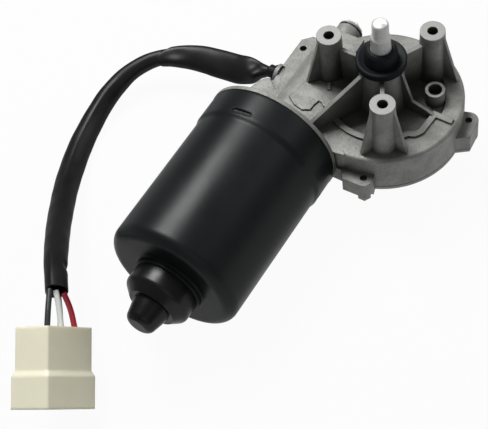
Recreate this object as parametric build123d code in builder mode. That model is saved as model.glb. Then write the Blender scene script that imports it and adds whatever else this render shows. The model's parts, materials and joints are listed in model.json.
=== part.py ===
"""Windscreen wiper motor: a worm gearbox, a permanent-magnet motor and a short wiring harness.

Frame: millimetres, +Z up. The origin is on the output shaft's axis, in the plane of the three
boss faces that bolt to a bracket. The armature lies parallel to Y, and its can points to -Y.
"""
import math
import os

from build123d import *

# ---------------------------------------------------------------- mounting face and output shaft
BOSS_CIRCLE_D = 56.0  # pitch circle of the three mounting bosses
BOSS_ANGLES = (60, 180, 300)
BOSS_D = 12.0
BOSS_FOOT_GROWTH = 1.0  # casting draft, on the radius, from face to foot
BOSS_CORE_D = 5.0  # tapping size of the M6 threads
BOSS_TAP_DEPTH = 16.0
SHAFT_D = 10.0
SHAFT_TIP_Z = 23.2
THREAD_D = 8.0  # M8 end of the output shaft
THREAD_LENGTH = 8.0
KNURL_D = 9.6
KNURL_LENGTH = 8.2
KNURL_TAPER = 0.2  # on the radius
SHAFT_HEAD_R = 6.4
SHAFT_HEAD_T = 1.0
SHAFT_SHOULDER_CHAMFER = 0.8

# ---------------------------------------------------------------- worm gearing
MODULE = 1.25
WHEEL_TEETH = 50
WORM_PITCH_R = 5.75
PRESSURE_ANGLE = 20.0
ROOT_FACTOR = 1.2  # dedendum in modules
BACKLASH = 0.36  # taken off the tooth thickness, shared by worm and wheel
WORM_TURNS = 6
THREAD_BURY = 0.4  # depth of the thread's foot inside the worm's core
WHEEL_FACE = 6.0
WHEEL_WEB = 3.4
WHEEL_RIM = 4.2  # depth of solid rim under the tooth roots
WHEEL_HUB_R = 9.5
WHEEL_HUB_LENGTH = 9.0
WHEEL_HOLES = 6
WHEEL_HOLE_R = 4.0
WORM_AXIS_DROP = 36.8  # worm axis below the boss faces

# ---------------------------------------------------------------- gear housing (die casting)
WHEEL_ROOM = 3.5  # wheel tips to the drum's inner wall
DRUM_RIM_DROP = 29.4  # boss faces to the drum's top rim
DRUM_H = 19.8
DRUM_WALL = 3.2
DRUM_EDGE = 1.6
FLOOR_STEP = 1.6  # the drum's floor lies this far under its rim
FLOOR_T = 2.2
POCKET_R = 30.2  # outer wall of the pocket behind the front ledge
LEDGE_R = 26.5  # the raised front ledge starts here
LEDGE_END_Y = 0.8
LEDGE_ARC_FROM = -118
LEDGE_ARC_TO = -35
LEDGE_STEPS = [(24.8, -13.9), (26.7, -10.9), (27.6, LEDGE_END_Y)]  # its edge after the arc
BEAD_W = 3.0
BEAD_H = 1.2
BEAD_SINK = 1.0  # the bead runs this far into the drum's wall
TOWER_TOP_R = 10.0
TOWER_FOOT_R = 12.2
TOWER_DROP = 4.6  # boss faces to the tower's top
RIB_T = 2.1
BOWED_RIB_T = 1.6
RIB_DROP = 6.4  # boss faces to the tops of the main ribs
SLOPED_RIB_ANGLE = 240
SLOPED_RIB_END_DROP = 27.4
BOWED_RIB_ANGLES = (0, 120)
FIN_T = 1.6
FIN_REACHES = (13.8, 14.7, 12.6)  # from the centre of each boss
FIN_TOP_DROP = 1.2
BOW_START = 1.0  # level part of a bowed rib beyond the tower
BOW_CORNERS = ((16.4, -24.0), (24.4, -26.6))  # (radius, z) where a bowed rib changes slope
VENT_X = 23.0
VENT_Y = 10.0
VENT_D = 9.6
VENT_BORE_D = 6.6
VENT_H = 8.2  # above the drum's floor
VENT_BORE_DEPTH = 7.0
TUNNEL_WALL = 2.4
TUNNEL_CLEAR = 0.7  # worm tip to tunnel bore
NOSE_R = 6.7
NOSE_END_Y = 34.8
NOSE_ROUND = 0.8
NOSE_GROOVE_Y = 32.2
NOSE_GROOVE_W = 1.0
NOSE_GROOVE_DEPTH = 0.7
BLOCK_END_Y = 24.2
BLOCK_BACK_X = 13.6  # worm axis to the tunnel block's right side
PLATE_H = 0.8  # raised plate on top of the tunnel block
PLATE_SINK = 1.0  # its foot inside the block
PLATE_OUTLINE = [
    (-36.3, -12.1), (-36.5, -17.4), (-38.6, -22.8), (-33.6, -26.2), (-28.7, -27.3),
    (-25.1, -25.4), (-25.0, -22.3), (-24.1, -19.0), (-22.5, -19.2), (-20.7, -20.8),
    (-14.0, -20.8), (-8.0, -8.0), (-30.0, -8.0), (-33.0, -11.0),
]
DECK_FIN = ((-25.0, -7.5), (-22.7, -11.4))  # ends of a low fin beside the left boss
DECK_FIN_H = 1.6
CHAMBER_LEFT = 11.0  # worm axis to the terminal chamber's right wall
ARM_LEFT = 20.6  # worm axis to the terminal chamber's left wall
ARM_DROP = 40.0  # boss faces to the arm's top
ARM_CORNER = 4.4
ARM_NOTCH_DEPTH = 1.2
ARM_NOTCH = [(-1, -9.2), (-1, 0.8), (1.5, 0.8), (2.6, -1.6), (3.4, -5.9), (5.8, -12.4), (4.4, -13.6)]
DRUM_WEB_FOOT_X = -9.8  # web between the drum and the motor flange: its end on the flange
DRUM_WEB_TOP_X = 1.0  # and on the drum
WEB_T = 5.0  # web between the arm and the motor flange
WEB_OUTLINE = [(-11.4, -40.6), (-6.9, -17.0), (-5.6, -12.6), (-3.4, -9.6), (0, -8.3), (8.0, -40.6)]
EAR_DROP = 40.0
EAR_R = 4.8
EAR_CIRCLE_R = 41.6
EAR_TAIL = 9.8  # each lug runs on this far beside its hole
EAR_TAPER = 2.4
EAR_INSET = 5.2
EAR_ANGLES = (-74, 18, 112)
ARM_EAR_DX = -17.0  # from the worm axis
ARM_EAR_Y = 15.2
SCREW_CORE_D = 3.4
SCREW_D = 4.0
SCREW_HEAD_D = 7.0
SCREW_HEAD_H = 2.8
SCREW_LENGTH = 9.0
GASKET_T = 0.5
COVER_T = 2.0
COVER_DISH = 1.2
DISH_MARGIN = 1.0  # dish beyond the contact plate

# ---------------------------------------------------------------- motor
FLANGE_R = 34.3
FLANGE_T = 2.0
FLANGE_CONE_T = 1.2
FLANGE_CONE_R = 2.0  # narrowing over that cone
FLANGE_FACE_T = 1.6  # flange's back to the front bearing boss's full width
MOUTH_Y = -43.0
SPIGOT_LENGTH = 5.0
SPIGOT_WALL = 2.6
CAN_R = 33.3
CAN_WALL = 2.0
CAN_REAR_SPACE = 14.8  # core to the outside of the can's end
CAN_CORNER = 5.5
CAN_BAND_STEP = 0.8
CAN_BAND_TAPER = 2.4  # length of the cone behind the band
CAN_BAND_LENGTH = 14.4
CAN_HUB_R = 17.4
CAN_HUB_H = 3.0
STAKE_ANGLES = (99, 219, 339)
STAKE_W = 10.6
STAKE_H = 2.2
STAKE_DEPTH = 0.9
STAKE_FROM_MOUTH = 12.5
ARMATURE_SHAFT_D = 8.0
FRONT_JOURNAL_D = 10.0
CORE_LENGTH = 48.0
CORE_FROM_MOUTH = 27.0
CORE_SLOTS = 12
CORE_SLOT_W = 4.0
CORE_SLOT_DEPTH = 9.0
CORE_SLOT_MOUTH = 1.6
CORE_MOUTH_DEPTH = 2.0
CORE_TOOTH_T = 1.5  # iron outside each slot
WINDING_INSET = 2.9  # core's rim to the winding's
WINDING_HEAD = 8.0
WINDING_FOOT = 3.0  # shaft to the winding heads
WINDING_CORNER = 2.5
COMMUTATOR_R = 11.0
COMMUTATOR_LENGTH = 9.6
COMMUTATOR_FROM_MOUTH = 8.0
COMMUTATOR_BARS = 12
BAR_GAP_W = 0.6
BAR_GAP_DEPTH = 1.0
AIR_GAP = 0.8
MAGNET_T = 6.1
MAGNET_SPAN = 130.0
MAGNET_OVERHANG = 2.0
BRUSH_ANGLES = (0, 120, 240)
BRUSH_W = 5.0
BRUSH_AXIAL = 6.0
BRUSH_LENGTH = 9.0
BRUSH_BOX_WALL = 1.0
BRUSH_BARE = 1.5  # of each brush between its box and the commutator
BRUSH_SLIDE_CLEAR = 0.2
BRUSH_PLATE_CLEAR = 1.5  # commutator to the brush plate's bore
SPRING_INSET = 0.5  # each rolled spring is narrower than its brush by this at both sides
BRUSH_PLATE_T = 2.0
ROLL_R = 2.6
ROLL_WALL = 0.8
FRONT_BUSH_R = 8.0
FRONT_BUSH_LENGTH = 10.0
END_BUSH_R = 6.4
END_BUSH_LENGTH = 9.0
REAR_BUSH_R = 8.0
REAR_BUSH_LENGTH = 9.0
REAR_BUSH_CROWN = 2.0  # chamfers that make it barrel-shaped
RETAINER_T = 1.0
RETAINER_R = 12.4
CAP_R = 16.4
CAP_SKIRT = 8.2
CAP_SHOULDER = 4.4
CAP_NECK_STEP = 2.4
CAP_SHOULDER_ROUND = 3.2
CAP_TIP_ROUND = 3.6
CAP_NECK_R = 9.3
CAP_TIP_R = 6.7
CAP_NUB = 10.8
CAP_WALL = 2.4
THRUST_BALL_R = 2.2
THRUST_SCREW_R = 3.4
SCREW_SLOT_W = 1.0
SCREW_SLOT_DEPTH = 1.2
LOCK_RING_R = 5.4
LOCK_RING_T = 1.4

# ---------------------------------------------------------------- output bearing stack
BUSH_WALL = 2.0
UPPER_BUSH_LENGTH = 9.0
LOWER_BUSH_LENGTH = 11.0
WASHER_T = 0.6
WASHER_R = 7.8
CLIP_T = 1.0
CLIP_R = 7.4
CLIP_GROOVE = 0.6
SEAL_R = 12.0
SEAL_H = 3.95
SEAL_COLLAR_TOP_Z = 6.4
SEAL_COLLAR_R = 7.0
SEAL_COLLAR_FOOT_R = 8.4
SEAL_DISH = 0.8
SEAL_FOOT_CHAMFER = 0.6
SEAL_RIM_CHAMFER = 0.5
SEAL_RIM_W = 1.3
SEAL_COLLAR_FLARE = 0.4
SEAL_LIP_CHAMFER = 0.6
SEAL_LIP_LENGTH = 1.2
SEAL_GRIP_CLEAR = 0.1  # between the seal's lip and the shaft
CONTACT_DISC_T = 1.0
CONTACT_DISC_R = 24.0
PARK_GAP_ANGLE = 150
PARK_GAP_DEPTH = 3.0
PARK_GAP_W = 8.0
CONTACT_PLATE_T = 1.6
CONTACT_PLATE_W = 16.0
CONTACT_PLATE_R = 30.0
FINGER_W = 3.0
FINGER_T = 0.5
FINGER_GAP = 1.5
FINGER_SEAT = 4.0  # from the contact plate's outer reach to each finger's foot
FINGER_FOOT = 5.0
FINGER_TIP = 1.5
FINGER_RADII = (15.0, 18.5, 22.0)

# ---------------------------------------------------------------- fits and clearances
SHAFT_CLEAR = 0.03  # radial running clearance of each shaft in its bush
SEAT_CLEAR = 0.02  # radial gap of a pressed piece in its seat
MOVING_CLEAR = 0.4  # between pieces that move past each other

# ---------------------------------------------------------------- harness
SLEEVE_R = 5.0
WIRE_R = 1.35
GROMMET_R = 3.4
GROMMET_FLANGE_R = 4.2
GROMMET_FLANGE_T = 1.5
GROMMET_NOZZLE = 6.4
GROMMET_COLLAR_R = 5.4
GROMMET_COLLAR_H = 2.0  # the casting's collar round the grommet, out from the arm's wall
GROMMET_Y = -1.5
GROMMET_Z = -44.9
BEND_SHARE = 0.45  # of the shorter run beside a bend that its arc takes up
SLEEVE_ROUTE = [  # starts at the grommet's nozzle
    (-75.5, -4.1, -48.5),
    (-89.9, -3.9, -52.6),
    (-107.3, -4.0, -54.7),
    (-123.9, -10.8, -56.2),
    (-136.1, -23.6, -59.3),
    (-141.8, -40.2, -63.5),
    (-140.7, -58.3, -66.6),
    (-136.5, -75.7, -66.6),
    (-129.6, -92.5, -63.7),
    (-119.8, -109.4, -57.2),
    (-108.5, -125.6, -48.6),
    (-97.0, -140.6, -39.6),
    (-85.3, -154.5, -32.0),
    (-76.7, -164.8, -29.8),
]
WIRE_CELLS = {  # (column, row) of the connector cell each wire enters
    "wire_grey": (-1, 1),
    "wire_white": (0, 1),
    "wire_red": (1, 1),
    "wire_black": (1, 0),
}
WIRE_STARTS = {  # (across, up) from the sleeve's centre where each wire leaves it
    "wire_grey": (-3.2, -0.6),
    "wire_white": (-0.6, 0.5),
    "wire_red": (2.9, 1.6),
    "wire_black": (2.2, -1.1),
}
WIRE_BOW = 0.3  # how far each wire's corner leans towards the connector's axis
CONNECTOR_AT = (-70.8, -177.5, -38.0)  # centre of the face that the wires enter
CONNECTOR_OUT = (0.44, -0.78, -0.44)  # from the wires towards the mating end
CONNECTOR_WIDE = (0.24, 0.57, -0.78)
CONNECTOR_LENGTH = 36.6
CONNECTOR_BODY_W = 29.6
CONNECTOR_BODY_H = 20.0
CONNECTOR_CORNER = 1.0
CONNECTOR_HOOD_CORNER = 1.4
CONNECTOR_INNER_CORNER = 0.8
CONNECTOR_HOOD_LENGTH = 14.6
CONNECTOR_HOOD_STEP = 1.3
CONNECTOR_HOOD_SLOPE = 2.6  # length of the slope from the body out to the hood
CONNECTOR_WALL = 1.5
CELL_PITCH_W = 9.0
CELL_PITCH_H = 8.6
CELL_W = 7.2
CELL_H = 4.4
CELL_DEPTH = 8.0
TAB_W = 6.3
TAB_T = 0.8
TAB_LENGTH = 9.0

# ---------------------------------------------------------------- worked out from the above
WHEEL_PITCH_R = MODULE * WHEEL_TEETH / 2
CENTRE_DISTANCE = WHEEL_PITCH_R + WORM_PITCH_R
WORM_PITCH = math.pi * MODULE
WORM_TIP_R = WORM_PITCH_R + MODULE
CAN_LENGTH = CORE_FROM_MOUTH + CORE_LENGTH + CAN_REAR_SPACE
CORE_R = CAN_R - CAN_WALL - MAGNET_T - AIR_GAP
WINDING_R = CORE_R - WINDING_INSET
WORM_ROOT_R = WORM_PITCH_R - ROOT_FACTOR * MODULE
WHEEL_TIP_R = WHEEL_PITCH_R + MODULE
WHEEL_ROOT_R = WHEEL_PITCH_R - ROOT_FACTOR * MODULE
DRUM_INNER_R = WHEEL_TIP_R + WHEEL_ROOM
DRUM_R = DRUM_INNER_R + DRUM_WALL
AXIS_X = -CENTRE_DISTANCE
AXIS_Z = -WORM_AXIS_DROP
BOSS_R = BOSS_D / 2
BOSS_CIRCLE_R = BOSS_CIRCLE_D / 2
RIM_Z = -DRUM_RIM_DROP
BASE_Z = RIM_Z - DRUM_H
FLOOR_Z = RIM_Z - FLOOR_STEP
CEILING_Z = FLOOR_Z - FLOOR_T
COVER_Z = BASE_Z - GASKET_T
COVER_BOTTOM_Z = COVER_Z - COVER_T
TOWER_Z = -TOWER_DROP
EAR_Z = -EAR_DROP
ARM_Z = -ARM_DROP
TUNNEL_R = WORM_TIP_R + TUNNEL_CLEAR
TUNNEL_OUTER_R = TUNNEL_R + TUNNEL_WALL
DECK_Z = AXIS_Z + TUNNEL_OUTER_R
WHEEL_TOP_Z = AXIS_Z + WHEEL_FACE / 2
WHEEL_BOTTOM_Z = AXIS_Z - WHEEL_FACE / 2
SHAFT_BOTTOM_Z = WHEEL_TOP_Z - WHEEL_HUB_LENGTH
FLANGE_BACK_Y = MOUTH_Y + FLANGE_T
FLANGE_FACE_Y = FLANGE_BACK_Y + FLANGE_FACE_T
FRONT_BUSH_END_Y = FLANGE_BACK_Y + FRONT_BUSH_LENGTH
CLIP_Z = TOWER_Z + WASHER_T + MOVING_CLEAR
CAN_REAR_Y = MOUTH_Y - CAN_LENGTH
HUB_END_Y = CAN_REAR_Y - CAN_HUB_H
CORE_FRONT_Y = MOUTH_Y - CORE_FROM_MOUTH
CORE_REAR_Y = CORE_FRONT_Y - CORE_LENGTH
COMMUTATOR_FRONT_Y = MOUTH_Y - COMMUTATOR_FROM_MOUTH
COMMUTATOR_REAR_Y = COMMUTATOR_FRONT_Y - COMMUTATOR_LENGTH
BRUSH_PLATE_Y = MOUTH_Y - SPIGOT_LENGTH
BRUSH_FRONT_Y = BRUSH_PLATE_Y - BRUSH_PLATE_T
WORM_END_Y = (WORM_TURNS + 1) * WORM_PITCH / 2
END_BUSH_Y = WORM_END_Y + 2 * MOVING_CLEAR
SHAFT_END_Y = END_BUSH_Y + END_BUSH_LENGTH + 2 * MOVING_CLEAR
REAR_SHAFT_Y = HUB_END_Y - REAR_BUSH_LENGTH / 2 - 1
ARM_X = AXIS_X - ARM_LEFT
SLEEVE_START_X = ARM_X - GROMMET_NOZZLE
EAR_SPOTS = [
    (EAR_CIRCLE_R * math.cos(math.radians(angle)), EAR_CIRCLE_R * math.sin(math.radians(angle)))
    for angle in EAR_ANGLES
] + [(AXIS_X + ARM_EAR_DX, ARM_EAR_Y)]


def along_worm(y):
    """Work plane across the worm axis at y: its normal is +Y and its x is +X."""
    return Plane(origin=(AXIS_X, y, AXIS_Z), x_dir=(1, 0, 0), z_dir=(0, 1, 0))


def keep(name, label):
    """Label one finished piece and write it as a STEP file."""
    name.part.label = label
    export_step(name.part, f"parts/{label}.step")


def section(plane, corners):
    """Return a flat face with the given corners on a plane."""
    with BuildSketch(plane) as face:
        with BuildLine():
            Polyline(*corners, close=True)
        make_face()
    return face.sketch


def turned(profile, mode=Mode.ADD):
    """Revolve a profile of (radius, y) corners about the worm axis, in the open part."""
    face = section(Plane(origin=(AXIS_X, 0, AXIS_Z)), profile)
    revolve(face, axis=Axis((AXIS_X, 0, AXIS_Z), (0, 1, 0)), mode=mode)


def turned_about_z(profile, mode=Mode.ADD):
    """Revolve a profile of (radius, z) corners about the output shaft's axis, in the open part."""
    revolve(section(Plane.XZ, profile), axis=Axis.Z, mode=mode)


def upright(origin_x, origin_y, angle):
    """Vertical work plane through a point: its x leads away at the angle, its y is +Z."""
    way = math.radians(angle)
    return Plane(
        origin=(origin_x, origin_y, 0),
        x_dir=(math.cos(way), math.sin(way), 0),
        z_dir=(math.sin(way), -math.cos(way), 0),
    )


def housing_outline():
    """Return the gear housing's outline seen from above: drum, tunnel block, arm and lugs."""
    with BuildSketch(Plane.XY.offset(BASE_Z)) as outline:
        Circle(DRUM_R)
        with BuildLine():
            Polyline(
                (0, FLANGE_BACK_Y),
                (ARM_X, FLANGE_BACK_Y),
                (ARM_X, BLOCK_END_Y - ARM_CORNER),
                (ARM_X + ARM_CORNER, BLOCK_END_Y),
                (0, BLOCK_END_Y),
                close=True,
            )
        make_face()
        for angle in EAR_ANGLES:
            with PolarLocations(EAR_CIRCLE_R, 1, start_angle=angle):
                Circle(EAR_R)
                Polygon(
                    (EAR_R, 0), (EAR_R - EAR_TAPER, -EAR_TAIL), (-EAR_INSET, -EAR_TAIL - EAR_TAPER),
                    (-EAR_INSET, EAR_R), (0, EAR_R), align=None,
                )
    return outline.sketch


def ledge_turn():
    """Return the point where the front ledge's edge leaves its arc."""
    way = math.radians(LEDGE_ARC_TO)
    return LEDGE_R * math.cos(way), LEDGE_R * math.sin(way)


def rib(angle, profile, thickness=RIB_T):
    """Add one upright rib through the shaft's axis; its profile is (radius, z) corners."""
    extrude(section(upright(0, 0, angle), profile), amount=thickness / 2, both=True)


def boss_fin(boss_angle, turn, reach):
    """Add one thin fin from a boss down to the rim, turned from the boss's outward direction."""
    angle = math.radians(boss_angle)
    plane = upright(BOSS_CIRCLE_R * math.cos(angle), BOSS_CIRCLE_R * math.sin(angle), boss_angle + turn)
    profile = [
        (0, -FIN_TOP_DROP),
        (BOSS_R, -FIN_TOP_DROP),
        (reach, RIM_Z),
        (reach, CEILING_Z),
        (0, CEILING_Z),
    ]
    extrude(section(plane, profile), amount=FIN_T / 2, both=True)


def build_gear_housing():
    """Die-cast gear housing: drum, tower, bosses, ribs, worm tunnel, arm and motor flange."""
    rib_slant = math.radians(SLOPED_RIB_ANGLE - 180)
    rib_end = -FLANGE_BACK_Y / math.sin(rib_slant)
    with BuildPart() as housing:
        # the drum with its rounded top edge
        with BuildSketch(Plane.XY.offset(BASE_Z)):
            Circle(DRUM_R)
        extrude(amount=DRUM_H)
        fillet(housing.edges().group_by(Axis.Z)[-1], DRUM_EDGE)

        # block round the worm tunnel, the low arm beside it and the screw lugs
        extrude(housing_outline(), amount=EAR_Z - BASE_Z)
        with BuildSketch(Plane.XY.offset(BASE_Z)):
            with BuildLine():
                Polyline(
                    (AXIS_X, FLANGE_BACK_Y),
                    (AXIS_X, BLOCK_END_Y),
                    (AXIS_X + BLOCK_BACK_X, BLOCK_END_Y),
                    (AXIS_X + BLOCK_BACK_X, 0),
                    (0, 0),
                    (-rib_end * math.cos(rib_slant), FLANGE_BACK_Y),
                    close=True,
                )
            make_face()
        extrude(amount=DECK_Z - BASE_Z)
        with BuildSketch(along_worm(FLANGE_BACK_Y)):
            Circle(TUNNEL_OUTER_R)
        extrude(amount=BLOCK_END_Y - FLANGE_BACK_Y)
        extrude(section(Plane.XY.offset(DECK_Z - PLATE_SINK), PLATE_OUTLINE), amount=PLATE_SINK + PLATE_H)

        fin_from, fin_to = DECK_FIN
        fin_run = (fin_to[0] - fin_from[0], fin_to[1] - fin_from[1])
        fin_plane = upright(*fin_from, math.degrees(math.atan2(fin_run[1], fin_run[0])))
        fin_side = [
            (0, DECK_Z), (0, DECK_Z + DECK_FIN_H), (math.hypot(*fin_run), DECK_Z + DECK_FIN_H),
            (math.hypot(*fin_run), DECK_Z),
        ]
        extrude(section(fin_plane, fin_side), amount=FIN_T / 2, both=True)

        # webs from the drum and the arm to the flange, the arm's notch, the grommet's collar
        drum_web = [
            (AXIS_X, FLANGE_BACK_Y), (DRUM_WEB_FOOT_X, FLANGE_BACK_Y), (DRUM_WEB_TOP_X, -DRUM_R), (0, 0),
        ]
        extrude(section(Plane.XY.offset(BASE_Z), drum_web), amount=DRUM_H)
        on_arm = Plane((ARM_X, 0, ARM_Z))
        extrude(section(on_arm, WEB_OUTLINE), amount=-WEB_T)
        extrude(section(on_arm, ARM_NOTCH), amount=-ARM_NOTCH_DEPTH, mode=Mode.SUBTRACT)
        with BuildSketch(Plane(origin=(ARM_X, GROMMET_Y, GROMMET_Z), z_dir=(-1, 0, 0))):
            Circle(GROMMET_COLLAR_R)
        extrude(amount=GROMMET_COLLAR_H)

        # rounded nose over the worm's end, with a groove near its tip
        groove_r = NOSE_R - NOSE_GROOVE_DEPTH
        turned(
            [(0, 0), (NOSE_R, 0), (NOSE_R, NOSE_GROOVE_Y), (groove_r, NOSE_GROOVE_Y),
             (groove_r, NOSE_GROOVE_Y + NOSE_GROOVE_W), (NOSE_R, NOSE_GROOVE_Y + NOSE_GROOVE_W),
             (NOSE_R, NOSE_END_Y - NOSE_ROUND), (NOSE_R - NOSE_ROUND, NOSE_END_Y), (0, NOSE_END_Y)]
        )

        # pocket in the drum's top, with the front and back ledges left standing
        with BuildSketch(Plane.XY.offset(FLOOR_Z)):
            Circle(POCKET_R)
            Rectangle(2 * DRUM_R, 2 * DRUM_R, align=(Align.MAX, Align.CENTER), mode=Mode.SUBTRACT)
            with Locations((0, LEDGE_END_Y)):
                Rectangle(4 * DRUM_R, 2 * DRUM_R, align=(Align.CENTER, Align.MAX), mode=Mode.SUBTRACT)
            Circle(LEDGE_R)
            Polygon(ledge_turn(), *LEDGE_STEPS, (0, LEDGE_END_Y), (0, 0), align=None)
            with Locations((AXIS_X, 0)):
                Rectangle(2 * CHAMBER_LEFT + 2 * RIB_T, 4 * DRUM_R, mode=Mode.SUBTRACT)
        extrude(amount=2 * FLOOR_STEP, mode=Mode.SUBTRACT)

        # raised bead along the front ledge's edge
        with BuildSketch(Plane.XY.offset(FLOOR_Z)):
            with BuildLine():
                CenterArc((0, 0), LEDGE_R, LEDGE_ARC_FROM, LEDGE_ARC_TO - LEDGE_ARC_FROM)
                Polyline(ledge_turn(), *LEDGE_STEPS, (DRUM_INNER_R + BEAD_SINK, LEDGE_END_Y))
            trace(line_width=BEAD_W)
        extrude(amount=FLOOR_STEP + BEAD_H)

        # tower, mounting bosses and vent post
        turned_about_z(
            [(0, CEILING_Z), (TOWER_FOOT_R, CEILING_Z), (TOWER_FOOT_R, FLOOR_Z),
             (TOWER_TOP_R, TOWER_Z), (0, TOWER_Z)]
        )
        for angle in BOSS_ANGLES:
            with BuildSketch(Plane.XY.offset(CEILING_Z)):
                with PolarLocations(BOSS_CIRCLE_R, 1, start_angle=angle):
                    Circle(BOSS_R + BOSS_FOOT_GROWTH)
            with BuildSketch():
                with PolarLocations(BOSS_CIRCLE_R, 1, start_angle=angle):
                    Circle(BOSS_R)
            loft()
        with BuildSketch(Plane.XY.offset(CEILING_Z)):
            with Locations((VENT_X, VENT_Y)):
                Circle(VENT_D / 2)
        extrude(amount=FLOOR_T + VENT_H)

        # ribs: level ones to the bosses, one sloped to the flange, two bowed ones
        for angle in BOSS_ANGLES:
            rib(
                angle,
                [(0, -RIB_DROP), (BOSS_CIRCLE_R, -RIB_DROP), (BOSS_CIRCLE_R, CEILING_Z), (0, CEILING_Z)],
            )
        rib(
            SLOPED_RIB_ANGLE,
            [(0, -RIB_DROP), (TOWER_TOP_R, -RIB_DROP), (rib_end, -SLOPED_RIB_END_DROP),
             (rib_end, CEILING_Z), (0, CEILING_Z)],
        )
        for angle in BOWED_RIB_ANGLES:
            rib(
                angle,
                [(0, -RIB_DROP), (TOWER_TOP_R + BOW_START, -RIB_DROP), *BOW_CORNERS,
                 (LEDGE_STEPS[-1][0], RIM_Z + BEAD_H), (LEDGE_STEPS[-1][0], CEILING_Z),
                 (0, CEILING_Z)],
                BOWED_RIB_T,
            )
        for angle, reach in zip(BOSS_ANGLES, FIN_REACHES):
            for turn in (-60, 60):
                boss_fin(angle, turn, reach)

        # motor flange, its spigot and the front bearing's boss
        turned(
            [(0, MOUTH_Y), (CAN_R - CAN_WALL - SPIGOT_WALL, MOUTH_Y),
             (CAN_R - CAN_WALL - SPIGOT_WALL, BRUSH_PLATE_Y),
             (CAN_R - CAN_WALL - SEAT_CLEAR, BRUSH_PLATE_Y),
             (CAN_R - CAN_WALL - SEAT_CLEAR, MOUTH_Y), (FLANGE_R, MOUTH_Y),
             (FLANGE_R, FLANGE_BACK_Y), (FLANGE_R - FLANGE_CONE_R, FLANGE_BACK_Y + FLANGE_CONE_T),
             (AXIS_Z - BASE_Z + FLANGE_T, FLANGE_BACK_Y + FLANGE_CONE_T),
             (AXIS_Z - BASE_Z, FLANGE_FACE_Y),
             (AXIS_Z - BASE_Z, FRONT_BUSH_END_Y), (0, FRONT_BUSH_END_Y)]
        )

        # inside: gear chamber, worm tunnel, bearing seats and terminal chamber
        with BuildSketch(Plane.XY.offset(BASE_Z)):
            Circle(DRUM_INNER_R)
        extrude(amount=CEILING_Z - BASE_Z, mode=Mode.SUBTRACT)
        with BuildSketch(along_worm(FLANGE_BACK_Y + FRONT_BUSH_LENGTH)):
            Circle(TUNNEL_R)
        extrude(amount=END_BUSH_Y - FLANGE_BACK_Y - FRONT_BUSH_LENGTH, mode=Mode.SUBTRACT)
        with BuildSketch(along_worm(END_BUSH_Y)):
            Circle(END_BUSH_R)
        extrude(amount=END_BUSH_LENGTH, mode=Mode.SUBTRACT)
        with BuildSketch(along_worm(END_BUSH_Y)):
            Circle(ARMATURE_SHAFT_D / 2 + MOVING_CLEAR)
        extrude(amount=SHAFT_END_Y + MOVING_CLEAR - END_BUSH_Y, mode=Mode.SUBTRACT)
        with BuildSketch(along_worm(END_BUSH_Y + END_BUSH_LENGTH)):
            Circle(THRUST_SCREW_R)
        extrude(amount=NOSE_END_Y, mode=Mode.SUBTRACT)
        with BuildSketch(along_worm(MOUTH_Y)):
            Circle(FRONT_BUSH_R)
        extrude(amount=FLANGE_T + FRONT_BUSH_LENGTH, mode=Mode.SUBTRACT)
        with BuildSketch(Plane.XY.offset(CEILING_Z)):
            Circle(SHAFT_D / 2 + BUSH_WALL)
        extrude(amount=TOWER_Z - CEILING_Z, mode=Mode.SUBTRACT)
        with BuildSketch(Plane.XY.offset(BASE_Z)):
            with Locations((ARM_X + DRUM_WALL, GROMMET_Y)):
                Rectangle(
                    ARM_LEFT - CHAMBER_LEFT - DRUM_WALL, 2 * GROMMET_FLANGE_R,
                    align=(Align.MIN, Align.CENTER),
                )
        extrude(amount=ARM_Z - FLOOR_T - BASE_Z, mode=Mode.SUBTRACT)
        with BuildSketch(Plane(origin=(ARM_X, GROMMET_Y, GROMMET_Z), z_dir=(-1, 0, 0))):
            Circle(GROMMET_R)
        extrude(amount=-DRUM_WALL, mode=Mode.SUBTRACT)
        with BuildSketch(Plane(origin=(ARM_X, GROMMET_Y, GROMMET_Z), z_dir=(-1, 0, 0))):
            Circle(GROMMET_R)
        extrude(amount=GROMMET_COLLAR_H, mode=Mode.SUBTRACT)

        # tapped holes
        with BuildSketch():
            for angle in BOSS_ANGLES:
                with PolarLocations(BOSS_CIRCLE_R, 1, start_angle=angle):
                    Circle(BOSS_CORE_D / 2)
        extrude(amount=-BOSS_TAP_DEPTH, mode=Mode.SUBTRACT)
        with BuildSketch(Plane.XY.offset(FLOOR_Z + VENT_H)):
            with Locations((VENT_X, VENT_Y)):
                Circle(VENT_BORE_D / 2)
        extrude(amount=-VENT_BORE_DEPTH, mode=Mode.SUBTRACT)
        with BuildSketch(Plane.XY.offset(EAR_Z)):
            with Locations(*EAR_SPOTS):
                Circle(SCREW_CORE_D / 2)
        extrude(amount=BASE_Z - EAR_Z, mode=Mode.SUBTRACT)
    keep(housing, "gear_housing")


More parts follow.
